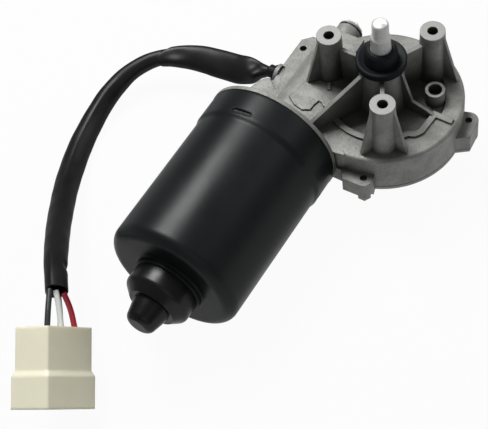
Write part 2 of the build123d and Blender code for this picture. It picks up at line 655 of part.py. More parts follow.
def build_cover():
    """Pressed steel cover under the gear chamber, its gasket and its screws."""
    outline = housing_outline()
    with BuildPart() as gasket:
        extrude(outline.moved(Location((0, 0, -GASKET_T))), amount=GASKET_T)
        with BuildSketch(Plane.XY.offset(COVER_Z)):
            Circle(DRUM_INNER_R)
            with Locations(*EAR_SPOTS):
                Circle(SCREW_D / 2 + SEAT_CLEAR)
            with Locations((0, FLANGE_FACE_Y)):
                Rectangle(4 * DRUM_R, DRUM_R, align=(Align.CENTER, Align.MAX))
        extrude(amount=GASKET_T, mode=Mode.SUBTRACT)
    keep(gasket, "cover_gasket")

    with BuildPart() as cover:
        extrude(outline.moved(Location((0, 0, COVER_BOTTOM_Z - BASE_Z))), amount=COVER_T)
        with BuildSketch(Plane.XY.offset(COVER_BOTTOM_Z - COVER_DISH)):
            Circle(CONTACT_PLATE_R + DISH_MARGIN + COVER_T)
        extrude(amount=COVER_DISH)
        with BuildSketch(Plane.XY.offset(COVER_Z)):
            Circle(CONTACT_PLATE_R + DISH_MARGIN)
        extrude(amount=-COVER_DISH, mode=Mode.SUBTRACT)
        with BuildSketch(Plane.XY.offset(COVER_BOTTOM_Z)):
            with Locations(*EAR_SPOTS):
                Circle(SCREW_D / 2 + SEAT_CLEAR)
            with Locations((0, FLANGE_FACE_Y)):
                Rectangle(4 * DRUM_R, DRUM_R, align=(Align.CENTER, Align.MAX))
        extrude(amount=COVER_T, mode=Mode.SUBTRACT)
    keep(cover, "gear_cover")

    with BuildPart() as screws:
        with BuildSketch(Plane.XY.offset(COVER_BOTTOM_Z - SCREW_HEAD_H)):
            with Locations(*EAR_SPOTS):
                RegularPolygon(SCREW_HEAD_D / 2, 6)
        extrude(amount=SCREW_HEAD_H)
        with BuildSketch(Plane.XY.offset(COVER_BOTTOM_Z)):
            with Locations(*EAR_SPOTS):
                Circle(SCREW_CORE_D / 2 - SEAT_CLEAR)
        extrude(amount=SCREW_LENGTH)
    keep(screws, "cover_screws")


def ring_about_z(label, inner_r, outer_r, low_z, high_z):
    """Write one plain ring on the output shaft's axis."""
    with BuildPart() as ring:
        with BuildSketch(Plane.XY.offset(low_z)):
            Circle(outer_r)
            Circle(inner_r, mode=Mode.SUBTRACT)
        extrude(amount=high_z - low_z)
    keep(ring, label)


def build_output_bearings():
    """Bushes, thrust washer, clip and rubber seal round the output shaft."""
    bore = SHAFT_D / 2 + SHAFT_CLEAR
    seat = SHAFT_D / 2 + BUSH_WALL - SEAT_CLEAR
    ring_about_z("upper_shaft_bush", bore, seat, TOWER_Z - UPPER_BUSH_LENGTH, TOWER_Z)
    ring_about_z("lower_shaft_bush", bore, seat, CEILING_Z, CEILING_Z + LOWER_BUSH_LENGTH)
    ring_about_z("thrust_washer", bore, WASHER_R, TOWER_Z, TOWER_Z + WASHER_T)
    ring_about_z(
        "shaft_clip", SHAFT_D / 2 - CLIP_GROOVE + SEAT_CLEAR, CLIP_R, CLIP_Z + SEAT_CLEAR,
        CLIP_Z + CLIP_T - SEAT_CLEAR,
    )

    top = TOWER_Z + SEAL_H
    room = WASHER_R + MOVING_CLEAR
    lip_r = SHAFT_D / 2 + SEAL_GRIP_CLEAR
    clip_room_z = CLIP_Z + CLIP_T + MOVING_CLEAR
    with BuildPart() as seal:
        turned_about_z(
            [(room, TOWER_Z), (SEAL_R - SEAL_FOOT_CHAMFER, TOWER_Z),
             (SEAL_R, TOWER_Z + SEAL_FOOT_CHAMFER), (SEAL_R, top - SEAL_RIM_CHAMFER),
             (SEAL_R - SEAL_RIM_CHAMFER, top), (SEAL_R - SEAL_RIM_W, top),
             (SEAL_COLLAR_FOOT_R, top - SEAL_DISH),
             (SEAL_COLLAR_R + SEAL_COLLAR_FLARE, SEAL_COLLAR_TOP_Z - SEAL_LIP_LENGTH),
             (SEAL_COLLAR_R - SEAL_LIP_CHAMFER, SEAL_COLLAR_TOP_Z), (lip_r, SEAL_COLLAR_TOP_Z),
             (lip_r, clip_room_z), (room, clip_room_z)]
        )
    keep(seal, "shaft_seal")


def build_output_shaft():
    """Output shaft with its clip groove, tapered knurl seat and threaded end."""
    r = SHAFT_D / 2
    thread_z = SHAFT_TIP_Z - THREAD_LENGTH
    knurl_z = thread_z - KNURL_LENGTH
    with BuildPart() as shaft:
        turned_about_z(
            [(0, SHAFT_BOTTOM_Z - SHAFT_HEAD_T), (SHAFT_HEAD_R, SHAFT_BOTTOM_Z - SHAFT_HEAD_T),
             (SHAFT_HEAD_R, SHAFT_BOTTOM_Z), (r, SHAFT_BOTTOM_Z), (r, CLIP_Z),
             (r - CLIP_GROOVE, CLIP_Z), (r - CLIP_GROOVE, CLIP_Z + CLIP_T), (r, CLIP_Z + CLIP_T),
             (r, knurl_z - SHAFT_SHOULDER_CHAMFER), (KNURL_D / 2, knurl_z),
             (KNURL_D / 2 - KNURL_TAPER, thread_z), (THREAD_D / 2, thread_z),
             (THREAD_D / 2, SHAFT_TIP_Z - SHAFT_SHOULDER_CHAMFER),
             (THREAD_D / 2 - SHAFT_SHOULDER_CHAMFER, SHAFT_TIP_Z), (0, SHAFT_TIP_Z)]
        )
    keep(shaft, "output_shaft")


def involute_turn(radius, base_r):
    """Angle by which an involute has unwound at a radius."""
    ratio = math.acos(min(1.0, base_r / radius))
    return math.tan(ratio) - ratio


def wheel_profile(height, turn):
    """Return the worm wheel's toothed outline at a height, turned by an angle in radians."""
    base_r = WHEEL_PITCH_R * math.cos(math.radians(PRESSURE_ANGLE))
    half_tooth = (math.pi * MODULE / 2 - BACKLASH / 2) / (2 * WHEEL_PITCH_R)
    radii = [WHEEL_ROOT_R, WHEEL_PITCH_R, WHEEL_TIP_R]
    half_angles = [
        half_tooth + involute_turn(WHEEL_PITCH_R, base_r) - involute_turn(max(r, base_r), base_r)
        for r in radii
    ]
    corners = []
    for tooth in range(WHEEL_TEETH):
        centre = 2 * math.pi * (tooth + 0.5) / WHEEL_TEETH + turn
        flanks = [(r, -a) for r, a in zip(radii, half_angles)]
        flanks += [(r, a) for r, a in zip(reversed(radii), reversed(half_angles))]
        corners += [(r * math.cos(centre + a), r * math.sin(centre + a)) for r, a in flanks]
    return section(Plane.XY.offset(height), corners)


def build_worm_wheel():
    """Helical worm wheel with a hub, a recessed web and lightening holes."""
    slant = WHEEL_FACE / 2 * MODULE / (2 * WORM_PITCH_R) / WHEEL_PITCH_R
    with BuildPart() as wheel:
        loft([wheel_profile(WHEEL_BOTTOM_Z, -slant), wheel_profile(WHEEL_TOP_Z, slant)], ruled=True)
        with BuildSketch(Plane.XY.offset(WHEEL_TOP_Z)):
            Circle(WHEEL_ROOT_R - WHEEL_RIM)
            Circle(WHEEL_HUB_R, mode=Mode.SUBTRACT)
        extrude(amount=-(WHEEL_FACE - WHEEL_WEB), mode=Mode.SUBTRACT)
        with BuildSketch(Plane.XY.offset(WHEEL_BOTTOM_Z)):
            with PolarLocations((WHEEL_HUB_R + WHEEL_ROOT_R - WHEEL_RIM) / 2, WHEEL_HOLES):
                Circle(WHEEL_HOLE_R)
        extrude(amount=WHEEL_WEB, mode=Mode.SUBTRACT)
        with BuildSketch(Plane.XY.offset(SHAFT_BOTTOM_Z)):
            Circle(WHEEL_HUB_R)
        extrude(amount=WHEEL_TOP_Z - SHAFT_BOTTOM_Z)
        with BuildSketch(Plane.XY.offset(SHAFT_BOTTOM_Z)):
            Circle(SHAFT_D / 2 + SEAT_CLEAR)
        extrude(amount=WHEEL_TOP_Z - SHAFT_BOTTOM_Z, mode=Mode.SUBTRACT)
    keep(wheel, "worm_wheel")


def build_park_switch():
    """Slotted contact disc under the wheel, and the fixed plate and fingers that read it."""
    disc_z = WHEEL_BOTTOM_Z - CONTACT_DISC_T
    with BuildPart() as disc:
        with BuildSketch(Plane.XY.offset(disc_z)):
            Circle(CONTACT_DISC_R)
            Circle(WHEEL_HUB_R + SEAT_CLEAR, mode=Mode.SUBTRACT)
            with PolarLocations(CONTACT_DISC_R, 1, start_angle=PARK_GAP_ANGLE):
                Rectangle(PARK_GAP_DEPTH * 2, PARK_GAP_W, mode=Mode.SUBTRACT)
        extrude(amount=CONTACT_DISC_T)
    keep(disc, "park_contact_disc")

    dish_z = COVER_Z - COVER_DISH
    plate_z = dish_z + CONTACT_PLATE_T
    with BuildPart() as plate:
        with BuildSketch(Plane.XY.offset(dish_z)):
            with Locations((WHEEL_HUB_R, 0)):
                Rectangle(
                    CONTACT_PLATE_R - 2 - WHEEL_HUB_R, CONTACT_PLATE_W,
                    align=(Align.MIN, Align.CENTER),
                )
        extrude(amount=CONTACT_PLATE_T)
    keep(plate, "contact_plate")

    tip_z = disc_z - MOVING_CLEAR
    with BuildPart() as fingers:
        for index, radius in enumerate(FINGER_RADII):
            y = (index - 1) * (FINGER_W + FINGER_GAP)
            foot_x = CONTACT_PLATE_R - FINGER_SEAT - FINGER_T
            bend_x = foot_x - FINGER_FOOT
            tip_x = radius - FINGER_TIP
            strip = [
                (foot_x, plate_z), (foot_x, plate_z + FINGER_T), (bend_x, plate_z + FINGER_T),
                (tip_x, tip_z), (tip_x - FINGER_T, tip_z - FINGER_T), (bend_x - FINGER_T, plate_z),
            ]
            leg = section(Plane(origin=(0, y, 0), x_dir=(1, 0, 0), z_dir=(0, -1, 0)), strip)
            extrude(leg, amount=FINGER_W / 2, both=True)
    keep(fingers, "contact_fingers")


def build_armature_shaft():
    """Armature shaft with journals and a one-start worm cut on its end."""
    journal = ARMATURE_SHAFT_D / 2
    front = FRONT_JOURNAL_D / 2
    with BuildLine() as helix:
        Helix(WORM_PITCH, WORM_TURNS * WORM_PITCH, WORM_PITCH_R)
    path = along_worm(-WORM_TURNS * WORM_PITCH / 2).from_local_coords(helix.line)
    with BuildPart() as shaft:
        turned(
            [(0, REAR_SHAFT_Y), (journal, REAR_SHAFT_Y), (journal, CORE_REAR_Y - WINDING_HEAD - 2),
             (front, CORE_REAR_Y - WINDING_HEAD - 2), (front, FRONT_BUSH_END_Y + 2),
             (WORM_ROOT_R, FRONT_BUSH_END_Y + 2), (WORM_ROOT_R, WORM_END_Y), (journal, WORM_END_Y),
             (journal, SHAFT_END_Y), (0, SHAFT_END_Y)]
        )
        begin = path @ 0
        slope = math.tan(math.radians(PRESSURE_ANGLE))
        half = (WORM_PITCH - BACKLASH) / 4
        inner = WORM_ROOT_R - THREAD_BURY - WORM_PITCH_R
        thread = section(
            Plane(origin=begin, x_dir=(1, 0, 0), z_dir=path % 0),
            [(inner, half - slope * inner), (MODULE, half - slope * MODULE),
             (MODULE, slope * MODULE - half), (inner, slope * inner - half)],
        )
        sweep(thread, path=path, is_frenet=True)
    keep(shaft, "worm_shaft")


def build_armature():
    """Laminated core, winding, commutator: everything that turns with the worm shaft."""
    slot_r = CORE_R - CORE_TOOTH_T - CORE_SLOT_DEPTH / 2
    winding_foot = FRONT_JOURNAL_D / 2 + WINDING_FOOT
    with BuildPart() as core:
        with BuildSketch(along_worm(CORE_REAR_Y)):
            Circle(CORE_R)
            with PolarLocations(slot_r, CORE_SLOTS):
                Rectangle(CORE_SLOT_DEPTH, CORE_SLOT_W, mode=Mode.SUBTRACT)
            with PolarLocations(CORE_R, CORE_SLOTS):
                Rectangle(2 * CORE_MOUTH_DEPTH, CORE_SLOT_MOUTH, mode=Mode.SUBTRACT)
            Circle(FRONT_JOURNAL_D / 2 + SEAT_CLEAR, mode=Mode.SUBTRACT)
        extrude(amount=CORE_LENGTH)
    keep(core, "armature_core")

    with BuildPart() as winding:
        for end_y, way in ((CORE_REAR_Y, -1), (CORE_FRONT_Y, 1)):
            turned(
                [(winding_foot, end_y), (WINDING_R, end_y),
                 (WINDING_R, end_y + way * (WINDING_HEAD - WINDING_CORNER)),
                 (WINDING_R - WINDING_CORNER, end_y + way * WINDING_HEAD),
                 (winding_foot + WINDING_CORNER, end_y + way * WINDING_HEAD),
                 (winding_foot, end_y + way * (WINDING_HEAD - WINDING_CORNER))]
            )
        with BuildSketch(along_worm(CORE_REAR_Y)):
            with PolarLocations(slot_r, CORE_SLOTS):
                Rectangle(CORE_SLOT_DEPTH - MOVING_CLEAR, CORE_SLOT_W - MOVING_CLEAR)
        extrude(amount=CORE_LENGTH)
    keep(winding, "armature_winding")

    with BuildPart() as commutator:
        with BuildSketch(along_worm(COMMUTATOR_REAR_Y)):
            Circle(COMMUTATOR_R)
            with PolarLocations(COMMUTATOR_R, COMMUTATOR_BARS):
                Rectangle(2 * BAR_GAP_DEPTH, BAR_GAP_W, mode=Mode.SUBTRACT)
            Circle(FRONT_JOURNAL_D / 2 + SEAT_CLEAR, mode=Mode.SUBTRACT)
        extrude(amount=COMMUTATOR_LENGTH)
    keep(commutator, "commutator")


def build_magnets():
    """Two ferrite arcs on the can's inner wall, round the core."""
    outer = CAN_R - CAN_WALL - SEAT_CLEAR
    with BuildPart() as magnets:
        with BuildSketch(along_worm(CORE_REAR_Y - MAGNET_OVERHANG)):
            Circle(outer)
            Circle(CORE_R + AIR_GAP, mode=Mode.SUBTRACT)
            reach = 2 * CAN_R
            gap = reach * math.tan(math.radians((180 - MAGNET_SPAN) / 2))
            for side in (-reach, reach):
                Polygon((0, 0), (side, gap), (side, -gap), align=None, mode=Mode.SUBTRACT)
        extrude(amount=CORE_LENGTH + 2 * MAGNET_OVERHANG)
    keep(magnets, "field_magnets")


def build_brush_gear():
    """Brush plate with three boxes, the carbon brushes and their rolled springs."""
    box_out = BRUSH_W / 2 + BRUSH_BOX_WALL
    brush_r = COMMUTATOR_R + MOVING_CLEAR
    box_r = brush_r + BRUSH_BARE
    roll_r = brush_r + BRUSH_LENGTH + ROLL_R + SEAT_CLEAR
    box_end = roll_r + ROLL_R
    with BuildPart() as holder:
        with BuildSketch(along_worm(BRUSH_FRONT_Y)):
            Circle(CAN_R - CAN_WALL - MOVING_CLEAR)
            Circle(COMMUTATOR_R + BRUSH_PLATE_CLEAR, mode=Mode.SUBTRACT)
        extrude(amount=BRUSH_PLATE_T)
        with BuildSketch(along_worm(BRUSH_FRONT_Y)):
            with PolarLocations((box_r + box_end) / 2, len(BRUSH_ANGLES), start_angle=BRUSH_ANGLES[0]):
                Rectangle(box_end - box_r, 2 * box_out)
        extrude(amount=-(BRUSH_AXIAL + BRUSH_BOX_WALL))
        with BuildSketch(along_worm(BRUSH_FRONT_Y)):
            with PolarLocations((box_r + box_end) / 2, len(BRUSH_ANGLES), start_angle=BRUSH_ANGLES[0]):
                Rectangle(box_end - box_r, BRUSH_W + BRUSH_SLIDE_CLEAR)
        extrude(amount=-(BRUSH_AXIAL + BRUSH_SLIDE_CLEAR), mode=Mode.SUBTRACT)
    keep(holder, "brush_holder")

    with BuildPart() as brushes:
        with BuildSketch(along_worm(BRUSH_FRONT_Y - BRUSH_SLIDE_CLEAR / 2)):
            with PolarLocations(brush_r + BRUSH_LENGTH / 2, len(BRUSH_ANGLES)):
                Rectangle(BRUSH_LENGTH, BRUSH_W)
        extrude(amount=-BRUSH_AXIAL)
    keep(brushes, "carbon_brushes")

    with BuildPart() as springs:
        with BuildSketch(along_worm(BRUSH_FRONT_Y - BRUSH_SLIDE_CLEAR / 2 - SPRING_INSET)):
            with PolarLocations(roll_r, len(BRUSH_ANGLES)):
                Circle(BRUSH_W / 2)
                Circle(BRUSH_W / 2 - ROLL_WALL, mode=Mode.SUBTRACT)
        extrude(amount=-(BRUSH_AXIAL - 2 * SPRING_INSET))
    keep(springs, "brush_springs")


def build_motor_bearings():
    """Front bush, worm end bush, barrel-shaped rear bush and its retainer, ball and thrust screw."""
    front_bore = FRONT_JOURNAL_D / 2 + SHAFT_CLEAR
    bore = ARMATURE_SHAFT_D / 2 + SHAFT_CLEAR
    with BuildPart() as front:
        with BuildSketch(along_worm(FRONT_BUSH_END_Y - FRONT_BUSH_LENGTH)):
            Circle(FRONT_BUSH_R - SEAT_CLEAR)
            Circle(front_bore, mode=Mode.SUBTRACT)
        extrude(amount=FRONT_BUSH_LENGTH)
    keep(front, "front_bush")

    with BuildPart() as end:
        with BuildSketch(along_worm(END_BUSH_Y)):
            Circle(END_BUSH_R - SEAT_CLEAR)
            Circle(bore, mode=Mode.SUBTRACT)
        extrude(amount=END_BUSH_LENGTH)
    keep(end, "worm_end_bush")

    half = REAR_BUSH_LENGTH / 2
    with BuildPart() as rear:
        turned(
            [(bore, HUB_END_Y - half), (REAR_BUSH_R - REAR_BUSH_CROWN, HUB_END_Y - half),
             (REAR_BUSH_R, HUB_END_Y - half + REAR_BUSH_CROWN),
             (REAR_BUSH_R, HUB_END_Y + half - REAR_BUSH_CROWN),
             (REAR_BUSH_R - REAR_BUSH_CROWN, HUB_END_Y + half), (bore, HUB_END_Y + half)]
        )
    keep(rear, "rear_bush")

    with BuildPart() as retainer:
        with BuildSketch(along_worm(HUB_END_Y)):
            Circle(RETAINER_R)
            Circle(REAR_BUSH_R + SEAT_CLEAR, mode=Mode.SUBTRACT)
        extrude(amount=-RETAINER_T)
    keep(retainer, "bush_retainer")

    ball_y = SHAFT_END_Y + THRUST_BALL_R + SHAFT_CLEAR
    with BuildPart() as ball:
        with Locations((AXIS_X, ball_y, AXIS_Z)):
            Sphere(THRUST_BALL_R)
    keep(ball, "thrust_ball")

    screw_y = ball_y + THRUST_BALL_R + SHAFT_CLEAR
    with BuildPart() as screw:
        with BuildSketch(along_worm(screw_y)):
            Circle(THRUST_SCREW_R - SEAT_CLEAR)
        extrude(amount=NOSE_END_Y + LOCK_RING_T - screw_y)
        with BuildSketch(along_worm(NOSE_END_Y + LOCK_RING_T)):
            Rectangle(2 * THRUST_SCREW_R, SCREW_SLOT_W)
        extrude(amount=-SCREW_SLOT_DEPTH, mode=Mode.SUBTRACT)
    keep(screw, "thrust_screw")

    with BuildPart() as lock:
        with BuildSketch(along_worm(NOSE_END_Y)):
            RegularPolygon(LOCK_RING_R, 6)
            Circle(THRUST_SCREW_R, mode=Mode.SUBTRACT)
        extrude(amount=LOCK_RING_T)
    keep(lock, "thrust_lock_nut")


def build_can():
    """Drawn steel can with its wider mouth band, staked dimples and rear bearing hub."""
    band_end = MOUTH_Y - CAN_BAND_LENGTH
    inner_r = CAN_R - CAN_WALL
    band_r = CAN_R + CAN_BAND_STEP
    seat_r = REAR_BUSH_R + SEAT_CLEAR
    stake_y = MOUTH_Y - STAKE_FROM_MOUTH
    with BuildPart() as can:
        with BuildSketch(Plane(origin=(AXIS_X, 0, AXIS_Z))) as wall:
            with BuildLine():
                Polyline(
                    (inner_r, MOUTH_Y), (band_r, MOUTH_Y), (band_r, band_end),
                    (CAN_R, band_end - CAN_BAND_TAPER), (CAN_R, CAN_REAR_Y),
                    (CAN_HUB_R, CAN_REAR_Y), (CAN_HUB_R, HUB_END_Y), (seat_r, HUB_END_Y),
                    (seat_r, HUB_END_Y + CAN_WALL), (CAN_HUB_R - CAN_WALL, HUB_END_Y + CAN_WALL),
                    (CAN_HUB_R - CAN_WALL, CAN_REAR_Y + CAN_WALL),
                    (inner_r, CAN_REAR_Y + CAN_WALL), close=True,
                )
            make_face()
            outer_corner = wall.vertices().sort_by_distance((CAN_R, CAN_REAR_Y, 0))[0]
            fillet(outer_corner, CAN_CORNER)
        revolve(axis=Axis((AXIS_X, 0, AXIS_Z), (0, 1, 0)))
        for angle in STAKE_ANGLES:
            way = math.radians(angle)
            radial = (math.cos(way), 0, math.sin(way))
            spot = Plane(
                origin=(AXIS_X + band_r * radial[0], stake_y, AXIS_Z + band_r * radial[2]),
                x_dir=(0, 1, 0), z_dir=radial,
            )
            with BuildSketch(spot):
                SlotOverall(STAKE_W, STAKE_H, rotation=90)
            extrude(amount=-STAKE_DEPTH, mode=Mode.SUBTRACT)
    keep(can, "motor_can")


def build_rear_cap():
    """Moulded cap over the rear bearing, with a shoulder and a tapered nub."""
    skirt_y = HUB_END_Y - CAP_SKIRT
    neck_y = skirt_y - CAP_SHOULDER
    tip_y = neck_y - CAP_NUB
    with BuildPart() as cap:
        with BuildSketch(Plane(origin=(AXIS_X, 0, AXIS_Z))) as shape:
            with BuildLine():
                Polyline(
                    (0, skirt_y), (CAP_R - CAP_WALL, skirt_y), (CAP_R - CAP_WALL, HUB_END_Y),
                    (CAP_R, HUB_END_Y), (CAP_R, skirt_y), (CAP_NECK_R + CAP_NECK_STEP, neck_y),
                    (CAP_NECK_R, neck_y), (CAP_TIP_R, tip_y), (0, tip_y), close=True,
                )
            make_face()
            fillet(shape.vertices().sort_by_distance((CAP_R, skirt_y, 0))[0], CAP_SHOULDER_ROUND)
            fillet(shape.vertices().sort_by_distance((CAP_TIP_R, tip_y, 0))[0], CAP_TIP_ROUND)
        revolve(axis=Axis((AXIS_X, 0, AXIS_Z), (0, 1, 0)))
    keep(cap, "rear_bearing_cap")


def bend_radii(route):
    """Return an arc radius for each inner point of a route, from the runs beside it."""
    radii = []
    for before, at, after in zip(route, route[1:], route[2:]):
        run_in = Vector(*at) - Vector(*before)
        run_out = Vector(*after) - Vector(*at)
        half_turn = math.radians(run_in.get_angle(run_out)) / 2
        radii.append(BEND_SHARE * min(run_in.length, run_out.length) / math.tan(half_turn))
    return radii


def build_cord(label, route, radius, end_face=None):
    """Write one cord as a round tube of straight runs and arcs, and print its bends.

    An end face, when given, is a plane that the tube's end is cut flush with.
    """
    radii = bend_radii(route)
    start = Vector(*route[0])
    way = (Vector(*route[1]) - start).normalized()
    with BuildPart() as cord:
        with BuildLine() as path:
            FilletPolyline(*route, radius=radii)
        with BuildSketch(Plane(origin=start, z_dir=way)):
            Circle(radius)
        sweep(path=path.line)
        if end_face is not None:
            split(bisect_by=end_face, keep=Keep.BOTTOM)
    length = path.wire().length
    ideal = math.pi * radius**2 * length
    print(f"{label}: length {length:.1f}, volume over section times length {cord.part.volume / ideal:.4f}")
    print("  bend radii in diameters:", [round(r / (2 * radius), 1) for r in radii])
    keep(cord, label)


def build_harness():
    """Grommet, sleeve and four wires, from the terminal chamber to the connector."""
    with BuildPart() as grommet:
        with BuildSketch(Plane(origin=(ARM_X + DRUM_WALL, GROMMET_Y, GROMMET_Z), z_dir=(-1, 0, 0))):
            Circle(GROMMET_R - SEAT_CLEAR)
        extrude(amount=DRUM_WALL + GROMMET_NOZZLE)
        collar_face_x = ARM_X - GROMMET_COLLAR_H
        with BuildSketch(Plane(origin=(collar_face_x, GROMMET_Y, GROMMET_Z), z_dir=(-1, 0, 0))):
            Circle(GROMMET_FLANGE_R)
        extrude(amount=GROMMET_FLANGE_T)
    keep(grommet, "harness_grommet")

    route = [(SLEEVE_START_X, GROMMET_Y, GROMMET_Z)] + SLEEVE_ROUTE
    build_cord("harness_sleeve", route, SLEEVE_R)

    end = Vector(*route[-1])
    way = (end - Vector(*route[-2])).normalized()
    face = Plane(origin=end, x_dir=CONNECTOR_WIDE, z_dir=tuple(way))
    mouth = Plane(origin=CONNECTOR_AT, x_dir=CONNECTOR_WIDE, z_dir=CONNECTOR_OUT)
    for label, (column, row) in WIRE_CELLS.items():
        leave = face.from_local_coords(Vector(*WIRE_STARTS[label]))
        enter = mouth.from_local_coords(Vector(*cell_spot(column, row)))
        chord = enter - leave
        run = chord.length**2 / (2 * chord.dot(mouth.z_dir))
        middle = leave + chord / 2
        corner = middle + (enter - mouth.z_dir * run - middle) * WIRE_BOW
        past = enter + (enter - corner).normalized() * WIRE_R
        build_cord(label, [tuple(leave), tuple(corner), tuple(past)], WIRE_R, end_face=mouth)


def cell_spot(column, row):
    """Return a connector cell's centre, in the plane of the face that the wires enter."""
    return column * CELL_PITCH_W, (row - 0.5) * CELL_PITCH_H


def build_connector():
    """Six-way nylon connector with a wider hood, and its four flat tabs."""
    mouth = Plane(origin=CONNECTOR_AT, x_dir=CONNECTOR_WIDE, z_dir=CONNECTOR_OUT)
    hood_w = CONNECTOR_BODY_W + 2 * CONNECTOR_HOOD_STEP
    hood_h = CONNECTOR_BODY_H + 2 * CONNECTOR_HOOD_STEP
    floor = CONNECTOR_LENGTH - CONNECTOR_HOOD_LENGTH
    with BuildPart() as housing:
        with BuildSketch(mouth):
            RectangleRounded(CONNECTOR_BODY_W, CONNECTOR_BODY_H, CONNECTOR_CORNER)
        extrude(amount=floor)
        with BuildSketch(mouth.offset(floor - CONNECTOR_HOOD_SLOPE)):
            RectangleRounded(CONNECTOR_BODY_W, CONNECTOR_BODY_H, CONNECTOR_CORNER)
        with BuildSketch(mouth.offset(floor)):
            RectangleRounded(hood_w, hood_h, CONNECTOR_HOOD_CORNER)
        loft()
        with BuildSketch(mouth.offset(floor)):
            RectangleRounded(hood_w, hood_h, CONNECTOR_HOOD_CORNER)
        extrude(amount=CONNECTOR_HOOD_LENGTH)
        with BuildSketch(mouth.offset(CONNECTOR_LENGTH)):
            RectangleRounded(
                hood_w - 2 * CONNECTOR_WALL, hood_h - 2 * CONNECTOR_WALL, CONNECTOR_INNER_CORNER,
            )
        extrude(amount=-CONNECTOR_HOOD_LENGTH, mode=Mode.SUBTRACT)
        with BuildSketch(mouth.offset(floor)):
            with GridLocations(CELL_PITCH_W, CELL_PITCH_H, 3, 2):
                Rectangle(CELL_W, CELL_H)
        extrude(amount=-CELL_DEPTH, mode=Mode.SUBTRACT)
    keep(housing, "connector_housing")

    with BuildPart() as tabs:
        with BuildSketch(mouth.offset(floor - CELL_DEPTH)):
            with Locations(*[cell_spot(column, row) for column, row in WIRE_CELLS.values()]):
                Rectangle(TAB_W, TAB_T)
        extrude(amount=CELL_DEPTH + TAB_LENGTH)
    keep(tabs, "connector_tabs")


def main():
    """Build every piece of the motor and write its STEP file."""
    os.makedirs("parts", exist_ok=True)
    build_gear_housing()
    build_cover()
    build_output_bearings()
    build_output_shaft()
    build_worm_wheel()
    build_park_switch()
    build_armature_shaft()
    build_armature()
    build_magnets()
    build_brush_gear()
    build_motor_bearings()
    build_can()
    build_rear_cap()
    build_harness()
    build_connector()


main()
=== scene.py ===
import json
import math

import bmesh
import bpy
import numpy as np
from mathutils import Matrix, Vector

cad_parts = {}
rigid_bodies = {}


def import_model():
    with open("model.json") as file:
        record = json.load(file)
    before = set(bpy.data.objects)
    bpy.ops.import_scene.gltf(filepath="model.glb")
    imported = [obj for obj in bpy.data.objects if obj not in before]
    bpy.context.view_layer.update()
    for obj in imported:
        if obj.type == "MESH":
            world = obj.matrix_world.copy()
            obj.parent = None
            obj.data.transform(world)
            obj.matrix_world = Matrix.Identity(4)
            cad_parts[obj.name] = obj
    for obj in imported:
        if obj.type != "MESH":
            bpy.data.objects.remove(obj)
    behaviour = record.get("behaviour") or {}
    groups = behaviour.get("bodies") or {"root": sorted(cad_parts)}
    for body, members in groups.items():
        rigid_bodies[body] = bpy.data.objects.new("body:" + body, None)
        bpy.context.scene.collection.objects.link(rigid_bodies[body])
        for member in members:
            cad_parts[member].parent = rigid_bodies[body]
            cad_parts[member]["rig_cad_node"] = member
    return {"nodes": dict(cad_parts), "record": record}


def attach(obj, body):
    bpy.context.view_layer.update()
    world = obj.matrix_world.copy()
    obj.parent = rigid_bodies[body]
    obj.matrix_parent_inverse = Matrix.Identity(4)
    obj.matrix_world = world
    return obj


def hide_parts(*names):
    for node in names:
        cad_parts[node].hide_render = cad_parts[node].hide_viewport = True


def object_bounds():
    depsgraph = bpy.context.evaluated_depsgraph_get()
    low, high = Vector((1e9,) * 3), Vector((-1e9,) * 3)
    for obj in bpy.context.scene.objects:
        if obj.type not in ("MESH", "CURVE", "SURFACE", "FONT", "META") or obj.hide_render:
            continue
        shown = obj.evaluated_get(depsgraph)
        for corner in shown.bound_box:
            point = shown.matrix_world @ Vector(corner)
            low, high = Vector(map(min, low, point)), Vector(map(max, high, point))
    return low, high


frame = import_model()
cad_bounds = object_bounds()
MM = 0.001
POLE_GAP = 1e-7  # points nearer than this, in metres, become one

# ------------------------------------------------------------------ camera: metres and radians
CAMERA_AT = (0.217022, -0.371092, 0.520248)
CAMERA_AZIMUTH = math.radians(40.464)
CAMERA_ELEVATION = math.radians(56.059)
CAMERA_ROLL = math.radians(-10.42)
CAMERA_CLIP = (0.01, 20.0)
CAMERA_LENS = 106.43  # mm, as is the sensor
SENSOR_WIDTH = 36.0

# ------------------------------------------------------------------ sleeve: its run, in metres
SLEEVE_ROUTE = [
    (-0.0640, -0.0015, -0.0449),
    (-0.0755, -0.0041, -0.0485),
    (-0.0899, -0.0039, -0.0526),
    (-0.1073, -0.0040, -0.0547),
    (-0.1239, -0.0108, -0.0562),
    (-0.1361, -0.0236, -0.0593),
    (-0.1418, -0.0402, -0.0635),
    (-0.1407, -0.0583, -0.0666),
    (-0.1365, -0.0757, -0.0666),
    (-0.1296, -0.0925, -0.0637),
    (-0.1198, -0.1094, -0.0572),
    (-0.1085, -0.1256, -0.0486),
    (-0.0970, -0.1406, -0.0396),
    (-0.0853, -0.1545, -0.0320),
    (-0.0767, -0.1648, -0.0298),
]
FACE_UP = (0.3624, -0.4248, 0.8296)  # the way its flat side looks

# ------------------------------------------------------------------ sleeve: its section, in millimetres
SLEEVE_RINGS = 420
SLEEVE_SIDES = 56
SECTION_POWER = 0.86  # 1 is an ellipse and less is boxier
SLEEVE_WALL = 0.7
MOUTH_DEPTH = 16.0

